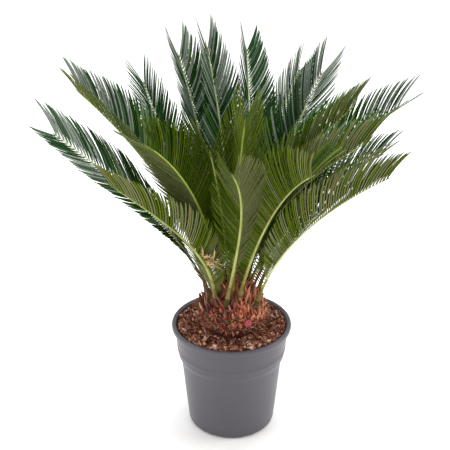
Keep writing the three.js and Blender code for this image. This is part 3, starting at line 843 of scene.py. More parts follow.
FRONDS = (
    Frond("back_1", Sector.BACK, (125, 30), 122, 9, 24, 0.376, swing=1, roll=5, reach=0.88,
          lightness_shift=(0.25, 0.15)),
    Frond("back_2", Sector.BACK, (90, 25), 104, 5, 29, 0.384, swing=8, roll=2, cup=26, twist=-4,
          reach=0.84, lightness_shift=(0.1, 0.2)),
    Frond("back_3", Sector.BACK, (60, 38), 76, 19.5, 23.5, 0.393, swing=20, roll=28, cup=10, reach=0.8,
          lightness_shift=(-0.45, -0.15)),
    Frond("back_4", Sector.BACK, (66, 59), 67, 23, 32, 0.388, swing=-3, roll=14, ease=1.24, cup=18,
          twist=26, reach=0.8, lift=30, lightness_shift=(0.08, 0.05)),
    Frond("back_5", Sector.BACK, (42, 38), 43, 17, 23, 0.366, swing=3, roll=34, cup=18, reach=0.94,
          lightness_shift=(0.35, 0.25)),
    Frond("back_6", Sector.BACK, (105, 60), 101, 27, 27, 0.38, roll=6, cup=16, reach=1.05),
    Frond("back_7", Sector.BACK, (80, 62), 80, 32, 30, 0.31),
    Frond("right_1", Sector.RIGHT, (0, 8), 357, 7.5, 40, 0.354, swing=6, roll=6, ease=0.86, cup=18,
          twist=-24, reach=0.86, lift=38, lightness_shift=(0.12, 0.1), grey=(0.12, 0.1), dry_foot=True),
    Frond("right_2", Sector.RIGHT, (17, 29), 5, 19, 37, 0.381, roll=-6, ease=1.06, twist=32, reach=0.92,
          lift=42, lightness_shift=(0.15, 0.2), grey=(0.12, 0.2)),
    Frond("right_3", Sector.RIGHT, (-56, 18), -37, 13, 41, 0.364, swing=13, roll=-2, ease=0.92, cup=24,
          lift=38, grey=(0.1, 0.05), dry_foot=True),
    Frond("right_4", Sector.RIGHT, (-23, 34), -22, 19, 36, 0.34, roll=8, ease=1.1, cup=10, twist=6,
          reach=0.78, lift=38, look=RibPart.PALE, dry_foot=True),
    Frond("right_5", Sector.RIGHT, (-31, 60), -55, 17.5, 37.5, 0.358, swing=31, roll=6, ease=0.8, cup=38,
          twist=-10, reach=0.8, lift=42, lightness_shift=(0.2, 0.15), grey=(0.2, 0.15), foot=0.05, petiole=0.2,
          look=RibPart.PALE),
    Frond("right_6", Sector.RIGHT, (25, 60), 34, 24, 30, 0.29, roll=8, cup=6, twist=8, reach=1.12,
          look=RibPart.PALE),
    Frond("front_1", Sector.FRONT, (-85, 25), -84, 10, 25, 0.37, roll=-10, cup=16, reach=0.95, lift=50,
          fill=1.1, grey=(0.15, 0.1), petiole=0.2, look=RibPart.VIVID, backlit=True),
    Frond("front_2", Sector.FRONT, (-106, 42), -67, 21, 30, 0.384, swing=-37, ease=1.1, cup=20,
          reach=0.82, fill=0.85, grey=(0.2, 0.3), contrast=0.6, petiole=0.22),
    Frond("front_3", Sector.FRONT, (-73, 36), -57, 20, 40, 0.382, swing=-15, ease=1.4, cup=16, reach=1.15,
          fill=1.1, petiole=0.2),
    Frond("front_4", Sector.FRONT, (250, 10), 255, 12, 20, 0.3, fill=0.8, grey=(-0.4, -0.4),
          petiole=0.24),
    Frond("left_1", Sector.LEFT, (200, 42), 213, 15, 40, 0.376, swing=-44, roll=-15, ease=0.7, cup=26,
          twist=-16, reach=0.96, lift=-9, lightness_shift=(-0.3, 0.15), foot=0.2, petiole=0.09, look=RibPart.PALE,
          left_row=0.68, dry_foot=True),
    Frond("left_2", Sector.LEFT, (224, 44), 260, 12, 42, 0.31, swing=-84, roll=24, ease=0.65, cup=14,
          reach=0.68, grey=(0.42, -0.05), foot=0.3, petiole=0.12),
    Frond("left_3", Sector.LEFT, (170, 26), 179, 13, 34, 0.39, swing=-4, roll=-2, ease=0.8, cup=30,
          twist=-8, reach=0.9, lift=28, lightness_shift=(0, 0.4), grey=(-0.1, -0.2), look=RibPart.PALE,
          dry_foot=True),
    Frond("left_4", Sector.FRONT, (228, 30), 237, 9, 44, 0.358, swing=-3, roll=32, ease=1.28, lift=25,
          contrast=-0.9, petiole=0.2, look=RibPart.VIVID),
    Frond("left_5", Sector.LEFT, (135, 50), 130, 29, 20, 0.367, swing=-15, roll=-9, cup=22, twist=-12,
          reach=0.8, lift=42, droop=0.16, fill=1.35, lightness_shift=(-0.3, -0.15)),
    Frond("left_6", Sector.LEFT, (155, 55), 150, 18, 30, 0.33, roll=4, lift=40, look=RibPart.PALE),
)


@dataclass(frozen=True)
class RowWidth:
    """How full a row of leaflets is, how much narrower it gets by the tip and its least half width."""

    fill: float
    taper: float
    least: float


ROW_WIDTHS = {
    Sector.BACK: RowWidth(1.14, 0.04, 1.38 * MM),
    Sector.RIGHT: RowWidth(0.94, 0.08, 1.12 * MM),
    Sector.FRONT: RowWidth(0.84, 0.10, 1.0 * MM),
    Sector.LEFT: RowWidth(1.04, 0.04, 1.26 * MM),
}

# The section of a rib in half widths: across its grooved top from left to right, then back under its keel.
RIB_UPPER = (
    (-0.98, 0.10), (-0.70, 0.34), (-0.30, 0.24), (0.0, 0.16), (0.30, 0.24), (0.70, 0.34), (0.98, 0.10),
)
RIB_UNDER = (
    (0.92, -0.36), (0.62, -0.86), (0.22, -1.12), (-0.22, -1.12), (-0.62, -0.86), (-0.92, -0.36),
)

# Shares of a rib: its first rings, from inside the crown, then the first, the last and the number of the
# even rings up to its tip, and its very end.
RIB_FOOT_RINGS = (-0.018, -0.006, 0.006)
RIB_RINGS = (0.02, 1.0, 58)
RIB_END = 1.03

# The share of a rib where each part of it ends.
RIB_PART_ENDS = {
    RibPart.FOOT: 0.05,
    RibPart.PETIOLE: 0.11,
    RibPart.LOW: 0.19,
    RibPart.GREEN: 0.96,
    RibPart.TIP: 2.0,
}

# The shares of a blade that its leaflets keep to, the least share of the rib between its lowest spine and
# its lowest leaflet, and the level of lightness from which a backlit underside takes the paler of its
# painted-light tones.
INSIDE = (0.002, 0.998)
SPINE_ROOM = 0.01
BACKLIT_PALE_FROM = 2


def level_of(value: np.ndarray, levels: int) -> np.ndarray:
    """Returns the level, from 0 up, that each value between 0 and 1 belongs to."""
    return np.clip(np.floor(value * levels), 0, levels - 1).astype(int)


LEAFLET_SHAPE = BladeShape(
    "leaflet",
    stations=(
        (0.0, 0.60, 1.0), (0.035, 0.70, 1.0), (0.18, 0.94, 1.0), (0.38, 1.0, 1.0), (0.62, 0.94, 0.95),
        (0.82, 0.78, 0.85), (0.93, 0.50, 0.7),
    ),
    front=((1.0, -0.7), (0.5, 0.25), (0.0, 0.05), (-0.5, 0.25), (-1.0, -0.7)),
    back=((0.0, -1.1),),
    root_rings=1,
)
FIBRE_SHAPE = BladeShape(
    "fibre",
    stations=((0.0, 1.0, 1.0), (0.4, 0.9, 1.0), (0.75, 0.6, 0.8)),
    front=((1.0, 0.0), (-1.0, 0.0)),
    back=((0.0, -1.0),),
)


class Draws:
    """Seeded random draws of many values at once."""

    def __init__(self, seed: int) -> None:
        """Seeds the draws."""
        self.rng = np.random.default_rng(seed)

    def even(self, count: int, spread: tuple[float, float | np.ndarray]) -> np.ndarray:
        """Returns values spread evenly upwards from the first number, over a range of the second."""
        return spread[0] + spread[1] * self.rng.random(count)

    def normal(self, count: int, spread: tuple[float, float]) -> np.ndarray:
        """Returns values about the first number, with a spread of the second."""
        return spread[0] + spread[1] * self.rng.standard_normal(count)


@dataclass(frozen=True)
class Wander:
    """How a tint drifts along a row of leaflets.

    Attributes:
        amount: The spread of the tint from spray to spray.
        spray: How many neighbours make a spray.
        own: How far neighbours differ, as a share of that spread.
    """

    amount: float
    spray: int
    own: float

    def along(self, draws: Draws, count: int) -> np.ndarray:
        """Returns the drift of each of a row's leaflets, about 0."""
        knots = draws.rng.standard_normal(count // self.spray + 2)
        drift = np.interp(np.arange(count) / self.spray, np.arange(len(knots)), knots)
        return self.amount * (drift + self.own * draws.rng.standard_normal(count))


@dataclass(frozen=True)
class DryTuft:
    """The tuft of dead, curled leaflets that hangs at the foot of one front frond.

    Attributes:
        frond: The frond's name.
        side: 1 for the right of its rib, -1 for the left.
        count: How many leaflets hang there.
        band: Where they hang, as the least share of the rib and the range above it.
        inset: How far from the rib's middle the nearest ones start, against half the rib's foot.
        outset: How much further out others start.
        fall: How steeply they hang below the rib.
        spread: How far each turns towards the tip, degrees: the mean and the spread.
        length: Their least length and its range.
        width: Their least half width and its range.
        bend: Their bend by the tip, degrees: the mean and the spread.
        curl: How far their tips stand out of their plane: the mean and the spread.
        depth: The scale of their thickness.
        seed: The seed of their irregularities.
    """

    frond: str = "left_2"
    side: int = -1
    count: int = 36
    band: tuple[float, float] = (0.29, 0.12)
    inset: float = 0.8
    outset: float = 14 * MM
    fall: float = 0.35
    spread: tuple[float, float] = (25, 40)
    length: tuple[float, float] = (10 * MM, 14 * MM)
    width: tuple[float, float] = (0.9 * MM, 0.7 * MM)
    bend: tuple[float, float] = (30, 50)
    curl: tuple[float, float] = (0.0, 0.35)
    depth: float = 0.4 * MM
    seed: int = 8

    def blades(self, frond: Frond, rib_foot: float) -> Blades:
        """Makes the dead leaflets.

        Args:
            frond: The frond that they hang on.
            rib_foot: Half the width of its rib at its foot.

        Returns:
            The leaflets.
        """
        draws = Draws(self.seed)
        count = self.count
        at = frond.frames(draws.even(count, self.band))
        spread = np.radians(draws.normal(count, self.spread))[:, None]
        outward = at.right * self.side - at.upper * self.fall
        outward = outward / np.linalg.norm(outward, axis=1)[:, None]
        ahead = outward * np.cos(spread) + at.along * np.sin(spread)
        across = at.along * np.cos(spread) - outward * np.sin(spread)
        aside = draws.even(count, (rib_foot * self.inset, self.outset))[:, None]
        return Blades(
            root=at.place + at.right * self.side * aside,
            ahead=ahead,
            across=across,
            facing=np.cross(ahead, across),
            length=draws.even(count, self.length),
            width=draws.even(count, self.width),
            bend=np.radians(draws.normal(count, self.bend)),
            curl=draws.normal(count, self.curl),
            front_tint=np.zeros(count, int),
            back_tint=np.zeros(count, int),
        )


@dataclass
class Crown:
    """The rosette of fronds: every rib with its two rows of leaflets.

    Attributes:
        fronds: The fronds.
        leaflets: How many leaflets stand on each side of the longest rib.
        longest_rib: The length of that rib.
        crowding: How much closer the leaflets stand at the foot than in an even row.
        leaflet_length: The length of the longest leaflets.
        longest_at: Where on the blade the longest leaflets are, as a share of it.
        foot_ease: How early the leaflets lengthen above the foot.
        tip_loss: How much shorter than the longest the leaflets at the tip are.
        left_growth: Where a short left row is at its full length, and its least share of that before.
        leaflet_angle: The angle between the lowest leaflets and the rib, degrees.
        leaflet_turn: How much nearer to the rib the leaflets at the tip lie, degrees.
        turn_ease: How early that turn comes in.
        leaflet_bend: How far a leaflet bends towards the frond's tip, degrees.
        leaflet_depth: The scale of a leaflet's thickness.
        widest: The greatest half width of a leaflet.
        leaflet_seat: Where a leaflet starts beside and above the rib's middle, in half widths of the rib.
        jitter: The small irregularity of each leaflet's place, angle, length, lift, bend and curl.
        spines: How many short spines stand on each side of a petiole.
        spine_share: Where the lowest spine stands, as a share of the rib.
        spine_angle: The angle between the lowest and the highest spines and the rib, degrees.
        spine_jitter: The irregularity of that angle.
        spine_length: The length of the lowest and the highest spines.
        spine_ease: How late the spines lengthen.
        spine_width: The half width of the lowest and the highest spines.
        rib_foot: Half the rib's width at its foot, without its swelling.
        rib_tip: Half the rib's width at its tip.
        rib_ease: How early the rib thins out.
        swelling: How much wider the rib's very foot is, and the share of the rib where that ends.
        rib_end: The share of the rib's width that is left at the very end of its tip.
        warm_wander: How the warmth of the upper faces drifts along a row.
        light_wander: How their lightness drifts, which strews painted sheen and partly painted shade among
            neighbours.
        under_wander: How the lightness of the undersides drifts.
        tuft: The tuft of dead leaflets.
        draws: The random draws of the small irregularities.
    """

    fronds: tuple[Frond, ...] = FRONDS
    leaflets: int = 82
    longest_rib: float = 0.40
    crowding: float = 0.28
    leaflet_length: float = 96 * MM
    longest_at: float = 0.42
    foot_ease: float = 1.5
    tip_loss: float = 0.32
    left_growth: tuple[float, float] = (0.7, 0.25)
    leaflet_angle: float = 70.0
    leaflet_turn: float = 38.0
    turn_ease: float = 0.9
    leaflet_bend: float = 21.0
    leaflet_depth: float = 0.55 * MM
    widest: float = 1.9 * MM
    leaflet_seat: tuple[float, float] = (0.72, 0.12)
    jitter: tuple[float, ...] = (0.03, 0.6, 0.03, 0.8, 1.1, 0.012)
    spines: int = 6
    spine_share: float = 0.075
    spine_angle: tuple[float, float] = (62.0, 70.0)
    spine_jitter: float = 3.0
    spine_length: tuple[float, float] = (5 * MM, 14 * MM)
    spine_ease: float = 1.3
    spine_width: tuple[float, float] = (0.9 * MM, 1.4 * MM)
    rib_foot: float = 3.3 * MM
    rib_tip: float = 0.8 * MM
    rib_ease: float = 0.6
    swelling: tuple[float, float] = (0.7, 0.12)
    rib_end: float = 0.25
    warm_wander: Wander = Wander(0.10, 7, 0.5)
    light_wander: Wander = Wander(0.24, 5, 1.5)
    under_wander: Wander = Wander(0.18, 6, 1.2)
    tuft: DryTuft = DryTuft()
    draws: Draws = field(default_factory=lambda: Draws(seed=7))

    def rib_half(self, t: np.ndarray) -> np.ndarray:
        """Returns half the rib's width at shares of its length, swollen at the foot."""
        swell, end = self.swelling
        half = between((self.rib_foot, self.rib_tip), np.clip(t, 0, 1) ** self.rib_ease)
        return half * (1 + swell * (1 - smoothstep(t, 0, end)))

    def length_at(self, u: np.ndarray, foot: float) -> np.ndarray:
        """Returns the leaflet length at shares of the blade, short at the foot and the tip."""
        early = 1 - (1 - foot) * np.maximum(1 - u / self.longest_at, 0) ** self.foot_ease
        late = 1 - self.tip_loss * ((u - self.longest_at) / (1 - self.longest_at)) ** 2
        return self.leaflet_length * np.where(u < self.longest_at, early, late)

    def upper_tints(self, frond: Frond, u: np.ndarray) -> np.ndarray:
        """Returns the number of the upper finish of each leaflet at shares of the blade."""
        greens = GREENS[frond.sector]
        share = np.clip(u, 0, 1)
        warm = between(greens.warmth, share) + self.warm_wander.along(self.draws, len(u))
        # Lightness picks deep to pale tones: the pale ones are painted sheen, the deep ones partly painted
        # shade inside the crown.
        light = between(greens.light, share) + between(frond.lightness_shift, share)
        light = light + self.light_wander.along(self.draws, len(u))
        return level_of(warm, LEVELS) * LEVELS + level_of(light, LEVELS)

    def under_tints(self, frond: Frond, side: int, u: np.ndarray) -> np.ndarray:
        """Returns the number of the underside finish of each leaflet at shares of the blade."""
        share = np.clip(u, 0, 1)
        pale = between(GREENS[frond.sector].under, share) + between(frond.grey, share)
        pale = pale - side * frond.contrast / 2 + self.under_wander.along(self.draws, len(u))
        level = level_of(pale, UNDER_LEVELS)
        return np.where(level < BACKLIT_PALE_FROM, UNDER_LEVELS, UNDER_LEVELS + 1) if frond.backlit else level

    def left_share(self, frond: Frond, side: int, u: np.ndarray) -> np.ndarray | float:
        """Returns the length of a row against the right one; a short left row grows from its foot."""
        if side > 0 or frond.left_row == 1:
            return 1.0
        full_at, least = self.left_growth
        return np.clip(u / full_at, least, 1) * frond.left_row

    def row(self, frond: Frond, side: int) -> Blades:
        """Grows one row of leaflets.

        Args:
            frond: The frond.
            side: 1 for the right of the rib, -1 for the left.

        Returns:
            The leaflets from the petiole's short spines to the tip.
        """
        normal = self.draws.normal
        place_jitter, angle_jitter, length_jitter, lift_jitter, bend_jitter, curl_jitter = self.jitter
        count = round(self.leaflets * frond.rib / self.longest_rib)
        x = np.clip((np.arange(count) + 0.5 + normal(count, (0, place_jitter))) / count, *INSIDE)
        u = x * (1 - self.crowding + self.crowding * x * x)
        blade = frond.rib * (1 - frond.petiole)
        pitch = blade * (1 - self.crowding + 3 * self.crowding * x * x) / count
        angle = self.leaflet_angle - self.leaflet_turn * u**self.turn_ease
        angle = angle + normal(count, (0, angle_jitter))
        length = self.length_at(u, frond.foot) * frond.reach * self.left_share(frond, side, u)
        length = length * normal(count, (1, length_jitter))
        rule = ROW_WIDTHS[frond.sector]
        width = np.clip(0.5 * rule.fill * pitch * np.sin(np.radians(angle)), rule.least, self.widest)
        width = width * frond.fill * (1 - rule.taper * u)

        lowest = (min(self.spine_share, frond.petiole - SPINE_ROOM) - frond.petiole) / (1 - frond.petiole)
        growth = (np.arange(self.spines) + (side + 1) / 4) / self.spines
        spine_angle = between(self.spine_angle, growth) + normal(self.spines, (0, self.spine_jitter))
        u = np.concatenate([lowest * (1 - growth), u])
        angle = np.concatenate([spine_angle, angle])
        length = np.concatenate([between(self.spine_length, growth**self.spine_ease), length])
        width = np.concatenate([between(self.spine_width, growth), width])

        t = frond.petiole + (1 - frond.petiole) * u
        at = frond.frames(t)
        total = len(u)
        lift = np.radians(frond.lift + frond.cup * u + normal(total, (0, lift_jitter)))[:, None]
        outward = at.right * side * np.cos(lift) + at.upper * np.sin(lift)
        turn = np.radians(angle)[:, None]
        aside, above = self.leaflet_seat
        half = self.rib_half(t)[:, None]
        return Blades(
            root=at.place + at.right * side * half * aside + at.upper * half * above,
            ahead=at.along * np.cos(turn) + outward * np.sin(turn),
            across=(at.along * np.sin(turn) - outward * np.cos(turn)) * side,
            facing=at.upper * np.cos(lift) - at.right * side * np.sin(lift),
            length=length,
            width=width,
            bend=side * np.radians(normal(total, (self.leaflet_bend, bend_jitter))),
            curl=normal(total, (-frond.droop, curl_jitter)),
            front_tint=self.upper_tints(frond, u),
            back_tint=self.under_tints(frond, side, u),
        )

    def build_leaflets(self) -> None:
        """Grows the leaflets of each side of the crown as one piece."""
        tree = BladeTree("leaflets_on_ribs", BladePalette(UPPER_FINISHES, UNDER_FINISHES, LEAF_BASE))
        blade = LEAFLET_SHAPE.carrier()
        for sector in Sector:
            fronds = [frond for frond in self.fronds if frond.sector is sector]
            rows = [self.row(frond, side) for frond in fronds for side in (-1, 1)]
            points = Blades.joined(rows).points()
            mesh = tree.grow(points, {"Blade": blade, "Depth": self.leaflet_depth})
            nodes = tuple(frond.node for frond in fronds)
            new_piece(f"leaflets_{sector.value}", mesh, nodes)

    def build_dry_leaflets(self) -> None:
        """Hangs the tuft of dead leaflets."""
        frond = next(frond for frond in self.fronds if frond.name == self.tuft.frond)
        blades = self.tuft.blades(frond, self.rib_foot)
        tree = BladeTree("dry_leaflets_at_foot", BladePalette((STRAW,), (STRAW,), STRAW))
        mesh = tree.grow(blades.points(), {"Blade": FIBRE_SHAPE.carrier(), "Depth": self.tuft.depth})
        new_piece("dry_leaflets", mesh)

    def build_ribs(self) -> None:
        """Sweeps a grooved and keeled section along every rib and joins the ribs as one piece."""
        section = np.array([*RIB_UPPER, *RIB_UNDER])[::-1]
        t = np.concatenate([RIB_FOOT_RINGS, np.linspace(*RIB_RINGS), [RIB_END]])
        size = len(section)
        points: list[np.ndarray] = []
        faces: list[tuple[int, ...]] = []
        slots: list[int] = []
        for frond in self.fronds:
            at = frond.frames(np.minimum(t, 1.0))
            half = self.rib_half(t)
            half[-1] *= self.rib_end
            place = at.place + at.along * (np.maximum(t - 1, 0) * frond.rib)[:, None]
            across = at.right[:, None] * (section[:, 0] * half[:, None])[..., None]
            up = at.upper[:, None] * (section[:, 1] * half[:, None])[..., None]
            first = sum(len(rings) for rings in points)
            points.append((place[:, None] + across + up).reshape(-1, 3))
            for ring in range(len(t) - 1):
                part = next(part for part, end in RIB_PART_ENDS.items() if t[ring] < end)
                if frond.dry_foot and part in (RibPart.PETIOLE, RibPart.LOW):
                    part = RibPart.BROWN
                for i in range(size):
                    j = (i + 1) % size
                    low = first + ring * size
                    faces.append((low + i, low + j, low + size + j, low + size + i))
                    on_top = len(RIB_UNDER) <= i < size - 1
                    green = RibPart.TOP if on_top else frond.look
                    slots.append(green if part is RibPart.GREEN else part)
            faces.append(tuple(first + i for i in reversed(range(size))))
            faces.append(tuple(first + (len(t) - 1) * size + i for i in range(size)))
            slots += [RibPart.FOOT, RibPart.TIP]
        mesh = mesh_of("ribs", np.concatenate(points), faces)
        for part in RibPart:
            mesh.materials.append(RIB_FINISHES[part].material())
        mesh.polygons.foreach_set("material_index", [int(slot) for slot in slots])
        new_piece("ribs", mesh, tuple(frond.node for frond in self.fronds))

    def build(self) -> None:
        """Builds the ribs and the leaflets."""
        self.build_ribs()
        self.build_leaflets()
        self.build_dry_leaflets()


# ---------------------------------------------------------------- caudex


@dataclass(frozen=True)
class Relief:
    """A rough relief of fractal noise.

    Attributes:
        height: Its height.
        lumps: How many lumps there are to a metre.
        fading: How fast the finer lumps fade.
        finer: How much finer each octave is than the last.
        octaves: The number of octaves.
    """

    height: float
    lumps: float
    fading: float = 0.9
    finer: float = 2.1
    octaves: int = 4

    def at(self, place: Vector) -> float:
        """Returns the relief's height at a place."""
        return self.height * noise.fractal(place * self.lumps, self.fading, self.finer, self.octaves)


SCALE_SHAPE = BladeShape(
    "scale",
    stations=((0.0, 0.85, 1.0), (0.25, 1.0, 1.0), (0.5, 0.84, 0.8), (0.75, 0.48, 0.5), (0.92, 0.16, 0.25)),
    front=((1.0, 0.0), (0.55, 0.62), (0.0, 0.9), (-0.55, 0.62), (-1.0, 0.0)),
    back=((-0.5, -0.25), (0.5, -0.25)),
)
STUB_SHAPE = BladeShape(
    "leaf_base_stub",
    stations=(
        (0.0, 0.9, 1.0), (0.3, 1.0, 1.05), (0.62, 0.86, 0.95), (0.84, 0.62, 0.75), (0.95, 0.42, 0.5),
    ),
    front=((1.0, 0.0), (0.6, 0.7), (0.0, 1.0), (-0.6, 0.7), (-1.0, 0.0)),
    back=((-0.55, -0.5), (0.55, -0.5)),
)
FIBRE_FINISHES = (STRAW, *(SCALE_FINISHES[brown] for brown in (Brown.ORANGE, Brown.RUST, Brown.TAN)))


@dataclass(frozen=True)
class BarkBlades:
    """One kind of blade that stands on the bark: old leaf bases, scale leaves, spear leaves or fibres.

    Attributes:
        name: The name of their piece.
        shape: The outline of each.
        depth: The scale of its thickness.
        count: How many there are.
        band: The shares of the way up the bark between which they stand.
        start: The angle of the first, radians.
        sink: How deep their feet sit in the bark.
        lean: How far they lean outwards, degrees from upright: the mean at the foot and the spread.
        yaw: The spread of their lean to the side, radians.
        length: Their least length.
        growth: The range of each random share of their length, and how much it grows with height.
        width: Their least half width and the range above it.
        curl: How far their tips stand out of their plane: the mean and the spread.
        rise: The shares of the way up between which height changes them.
        rise_lean: How much further the upper ones lean, degrees.
        rise_width: How much the range of their half width grows with height.
        shift: How much lighter their browns are than usual; None deals out FIBRE_FINISHES evenly instead.
    """

    name: str
    shape: BladeShape
    depth: float
    count: int
    band: tuple[float, float]
    start: float
    sink: float
    lean: tuple[float, float]
    yaw: float
    length: float
    growth: tuple[tuple[float, float], ...]
    width: tuple[float, float]
    curl: tuple[float, float]
    rise: tuple[float, float] = (0.0, 1.0)
    rise_lean: float = 0.0
    rise_width: float = 0.0
    shift: float | None = 0.0


BARK_BLADES = (
    BarkBlades(
        "caudex_leaf_bases", STUB_SHAPE,
        depth=2.6 * MM, count=170, band=(0.02, 0.62), start=0.3, sink=3 * MM,
        lean=(26, 10), yaw=0.22, length=10 * MM, growth=((6 * MM, 0.0),), width=(2.2 * MM, 1.5 * MM),
        curl=(0.0, 0.05), rise_lean=-14,
    ),
    BarkBlades(
        "caudex_scale_leaves", SCALE_SHAPE,
        depth=1.1 * MM, count=1050, band=(0.05, 0.9), start=1.1, sink=2 * MM,
        lean=(22, 9), yaw=0.60, length=7 * MM, growth=((0.0, 10 * MM), (7 * MM, 0.0)),
        width=(0.6 * MM, 1.1 * MM), curl=(-0.12, 0.16), rise=(0.3, 0.9), rise_lean=-16,
    ),
    BarkBlades(
        "caudex_spear_leaves", SCALE_SHAPE,
        depth=1.4 * MM, count=290, band=(0.46, 0.95), start=0.4, sink=2 * MM,
        lean=(12, 11), yaw=0.40, length=9 * MM, growth=((14 * MM, 32 * MM),), width=(1.0 * MM, 0.6 * MM),
        curl=(0.0, 0.06), rise=(0.62, 0.87), rise_width=2.8 * MM, shift=-0.22,
    ),
    BarkBlades(
        "caudex_fibres", FIBRE_SHAPE,
        depth=0.4 * MM, count=520, band=(0.22, 0.88), start=2.0, sink=-1 * MM,
        lean=(35, 22), yaw=1.1, length=6 * MM, growth=((5 * MM, 0.0), (0.0, 9 * MM)),
        width=(0.28 * MM, 0.22 * MM), curl=(0.0, 0.3), shift=None,
    ),
)


@dataclass(frozen=True)
class BrownRule:
    """Deals out browns: dark on the left, rust and orange on the right front, partly real rust and partly
    painted light from that side, grey-green half way up.

    Attributes:
        rust_and_light_heading: The side of the caudex that is the rustiest and gets painted light, degrees
            from +X.
        rust_and_light_focus: How narrow that side is.
        rust_and_light_gain: How much lighter it is, partly for rust and partly as painted light.
        range: The range of the random share.
        climb: How much lighter the bark gets from its foot to its top.
        level: The share of the way up where the climb adds nothing.
        low_until: The share of the way up below which no scale is lighter than low_most.
        low_most: The most that a low scale can draw.
        limits: The draws at which BROWN, RED, RUST and ORANGE start.
        tan_chance: How often a scale is tan.
        grey_band: The shares of the way up between which scales can be grey-green.
        grey_chance: How often they are.
    """

    rust_and_light_heading: float = -22.0
    rust_and_light_focus: int = 4
    rust_and_light_gain: float = 0.95
    range: float = 0.70
    climb: float = 0.50
    level: float = 0.20
    low_until: float = 0.38
    low_most: float = 0.90
    limits: tuple[float, ...] = (0.34, 0.62, 0.84, 1.06)
    tan_chance: float = 0.09
    grey_band: tuple[float, float] = (0.2, 0.6)
    grey_chance: float = 0.08

    def deal(self, draws: Draws, share: np.ndarray, angle: np.ndarray, shift: float) -> np.ndarray:
        """Deals out the browns.

        Args:
            draws: The random draws.
            share: Shares of the way up the bark.
            angle: The angles round it.
            shift: How much lighter the tints are than usual.

        Returns:
            The number of each blade's finish.
        """
        count = len(share)
        # The side towards the heading is drawn lighter, partly its rust and partly painted light from that
        # side.
        rust_and_light = 0.5 + 0.5 * np.cos(angle - math.radians(self.rust_and_light_heading))
        draw = draws.even(count, (0, self.range)) + self.rust_and_light_gain * rust_and_light**self.rust_and_light_focus
        draw = draw + self.climb * (share - self.level) + shift
        draw = np.where(share < self.low_until, np.minimum(draw, self.low_most), draw)
        tint = np.searchsorted(self.limits, draw, side="right")
        tint = np.where(draws.rng.random(count) < self.tan_chance, Brown.TAN, tint)
        low, high = self.grey_band
        middle = (share > low) & (share < high) & (draws.rng.random(count) < self.grey_chance)
        return np.where(middle, Brown.GREY_OLIVE, tint)


@dataclass
class Bulbil:
    """The egg-shaped bulbil at the right front of the caudex.

    Attributes:
        radius: Its greatest radius.
        taper: How much narrower its upper half and wider its lower half are.
        stretch: The height of its upper half against its radius.
        rings: The number of steps from its foot to its top.
        segments: The number of steps round it.
        relief: Its rough skin.
        fold: The depth of its folds.
        folds: Half the number of folds round it.
        heading: Where it sits round the caudex, degrees from +X.
        stand_off: How far its middle stands outside the caudex's waist.
        height: The height of its middle.
        tilt: How far it tilts, degrees.
    """

    radius: float = 5.5 * MM
    taper: float = 0.16
    stretch: float = 1.25
    rings: int = 16
    segments: int = 32
    relief: Relief = Relief(0.5 * MM, 220, finer=2.0, octaves=3)
    fold: float = 0.35 * MM
    folds: float = 2.5
    heading: float = -64.0
    stand_off: float = 4 * MM
    height: float = 208 * MM
    tilt: float = 24.0

    def build(self, waist_radius: float) -> None:
        """Builds the bulbil on a caudex with this waist radius."""
        profile = [(0.0, -self.radius)]
        for step in range(1, self.rings):
            climb = math.pi * (step / self.rings - 0.5)
            wide = math.cos(climb) * (1 - self.taper * math.sin(climb))
            tall = math.sin(climb) * (self.stretch if climb > 0 else 1.0)
            profile.append((wide * self.radius, tall * self.radius))
        profile.append((0.0, self.stretch * self.radius))
        mesh = turned("bulbil", profile, self.segments)
        for vertex in mesh.vertices:
            rough = self.relief.at(vertex.co)
            folds = self.fold * abs(math.sin(self.folds * math.atan2(vertex.co.y, vertex.co.x)))
            vertex.co += vertex.co.normalized() * (rough + folds)
        turn = math.radians(self.heading)
        seat = waist_radius + self.stand_off
        place = Matrix.Translation((seat * math.cos(turn), seat * math.sin(turn), self.height))
        mesh.transform(place @ Matrix.Rotation(math.radians(self.tilt), 4, "X"))
        mesh.materials.append(BULBIL.material())
        new_piece("bulbil", mesh)


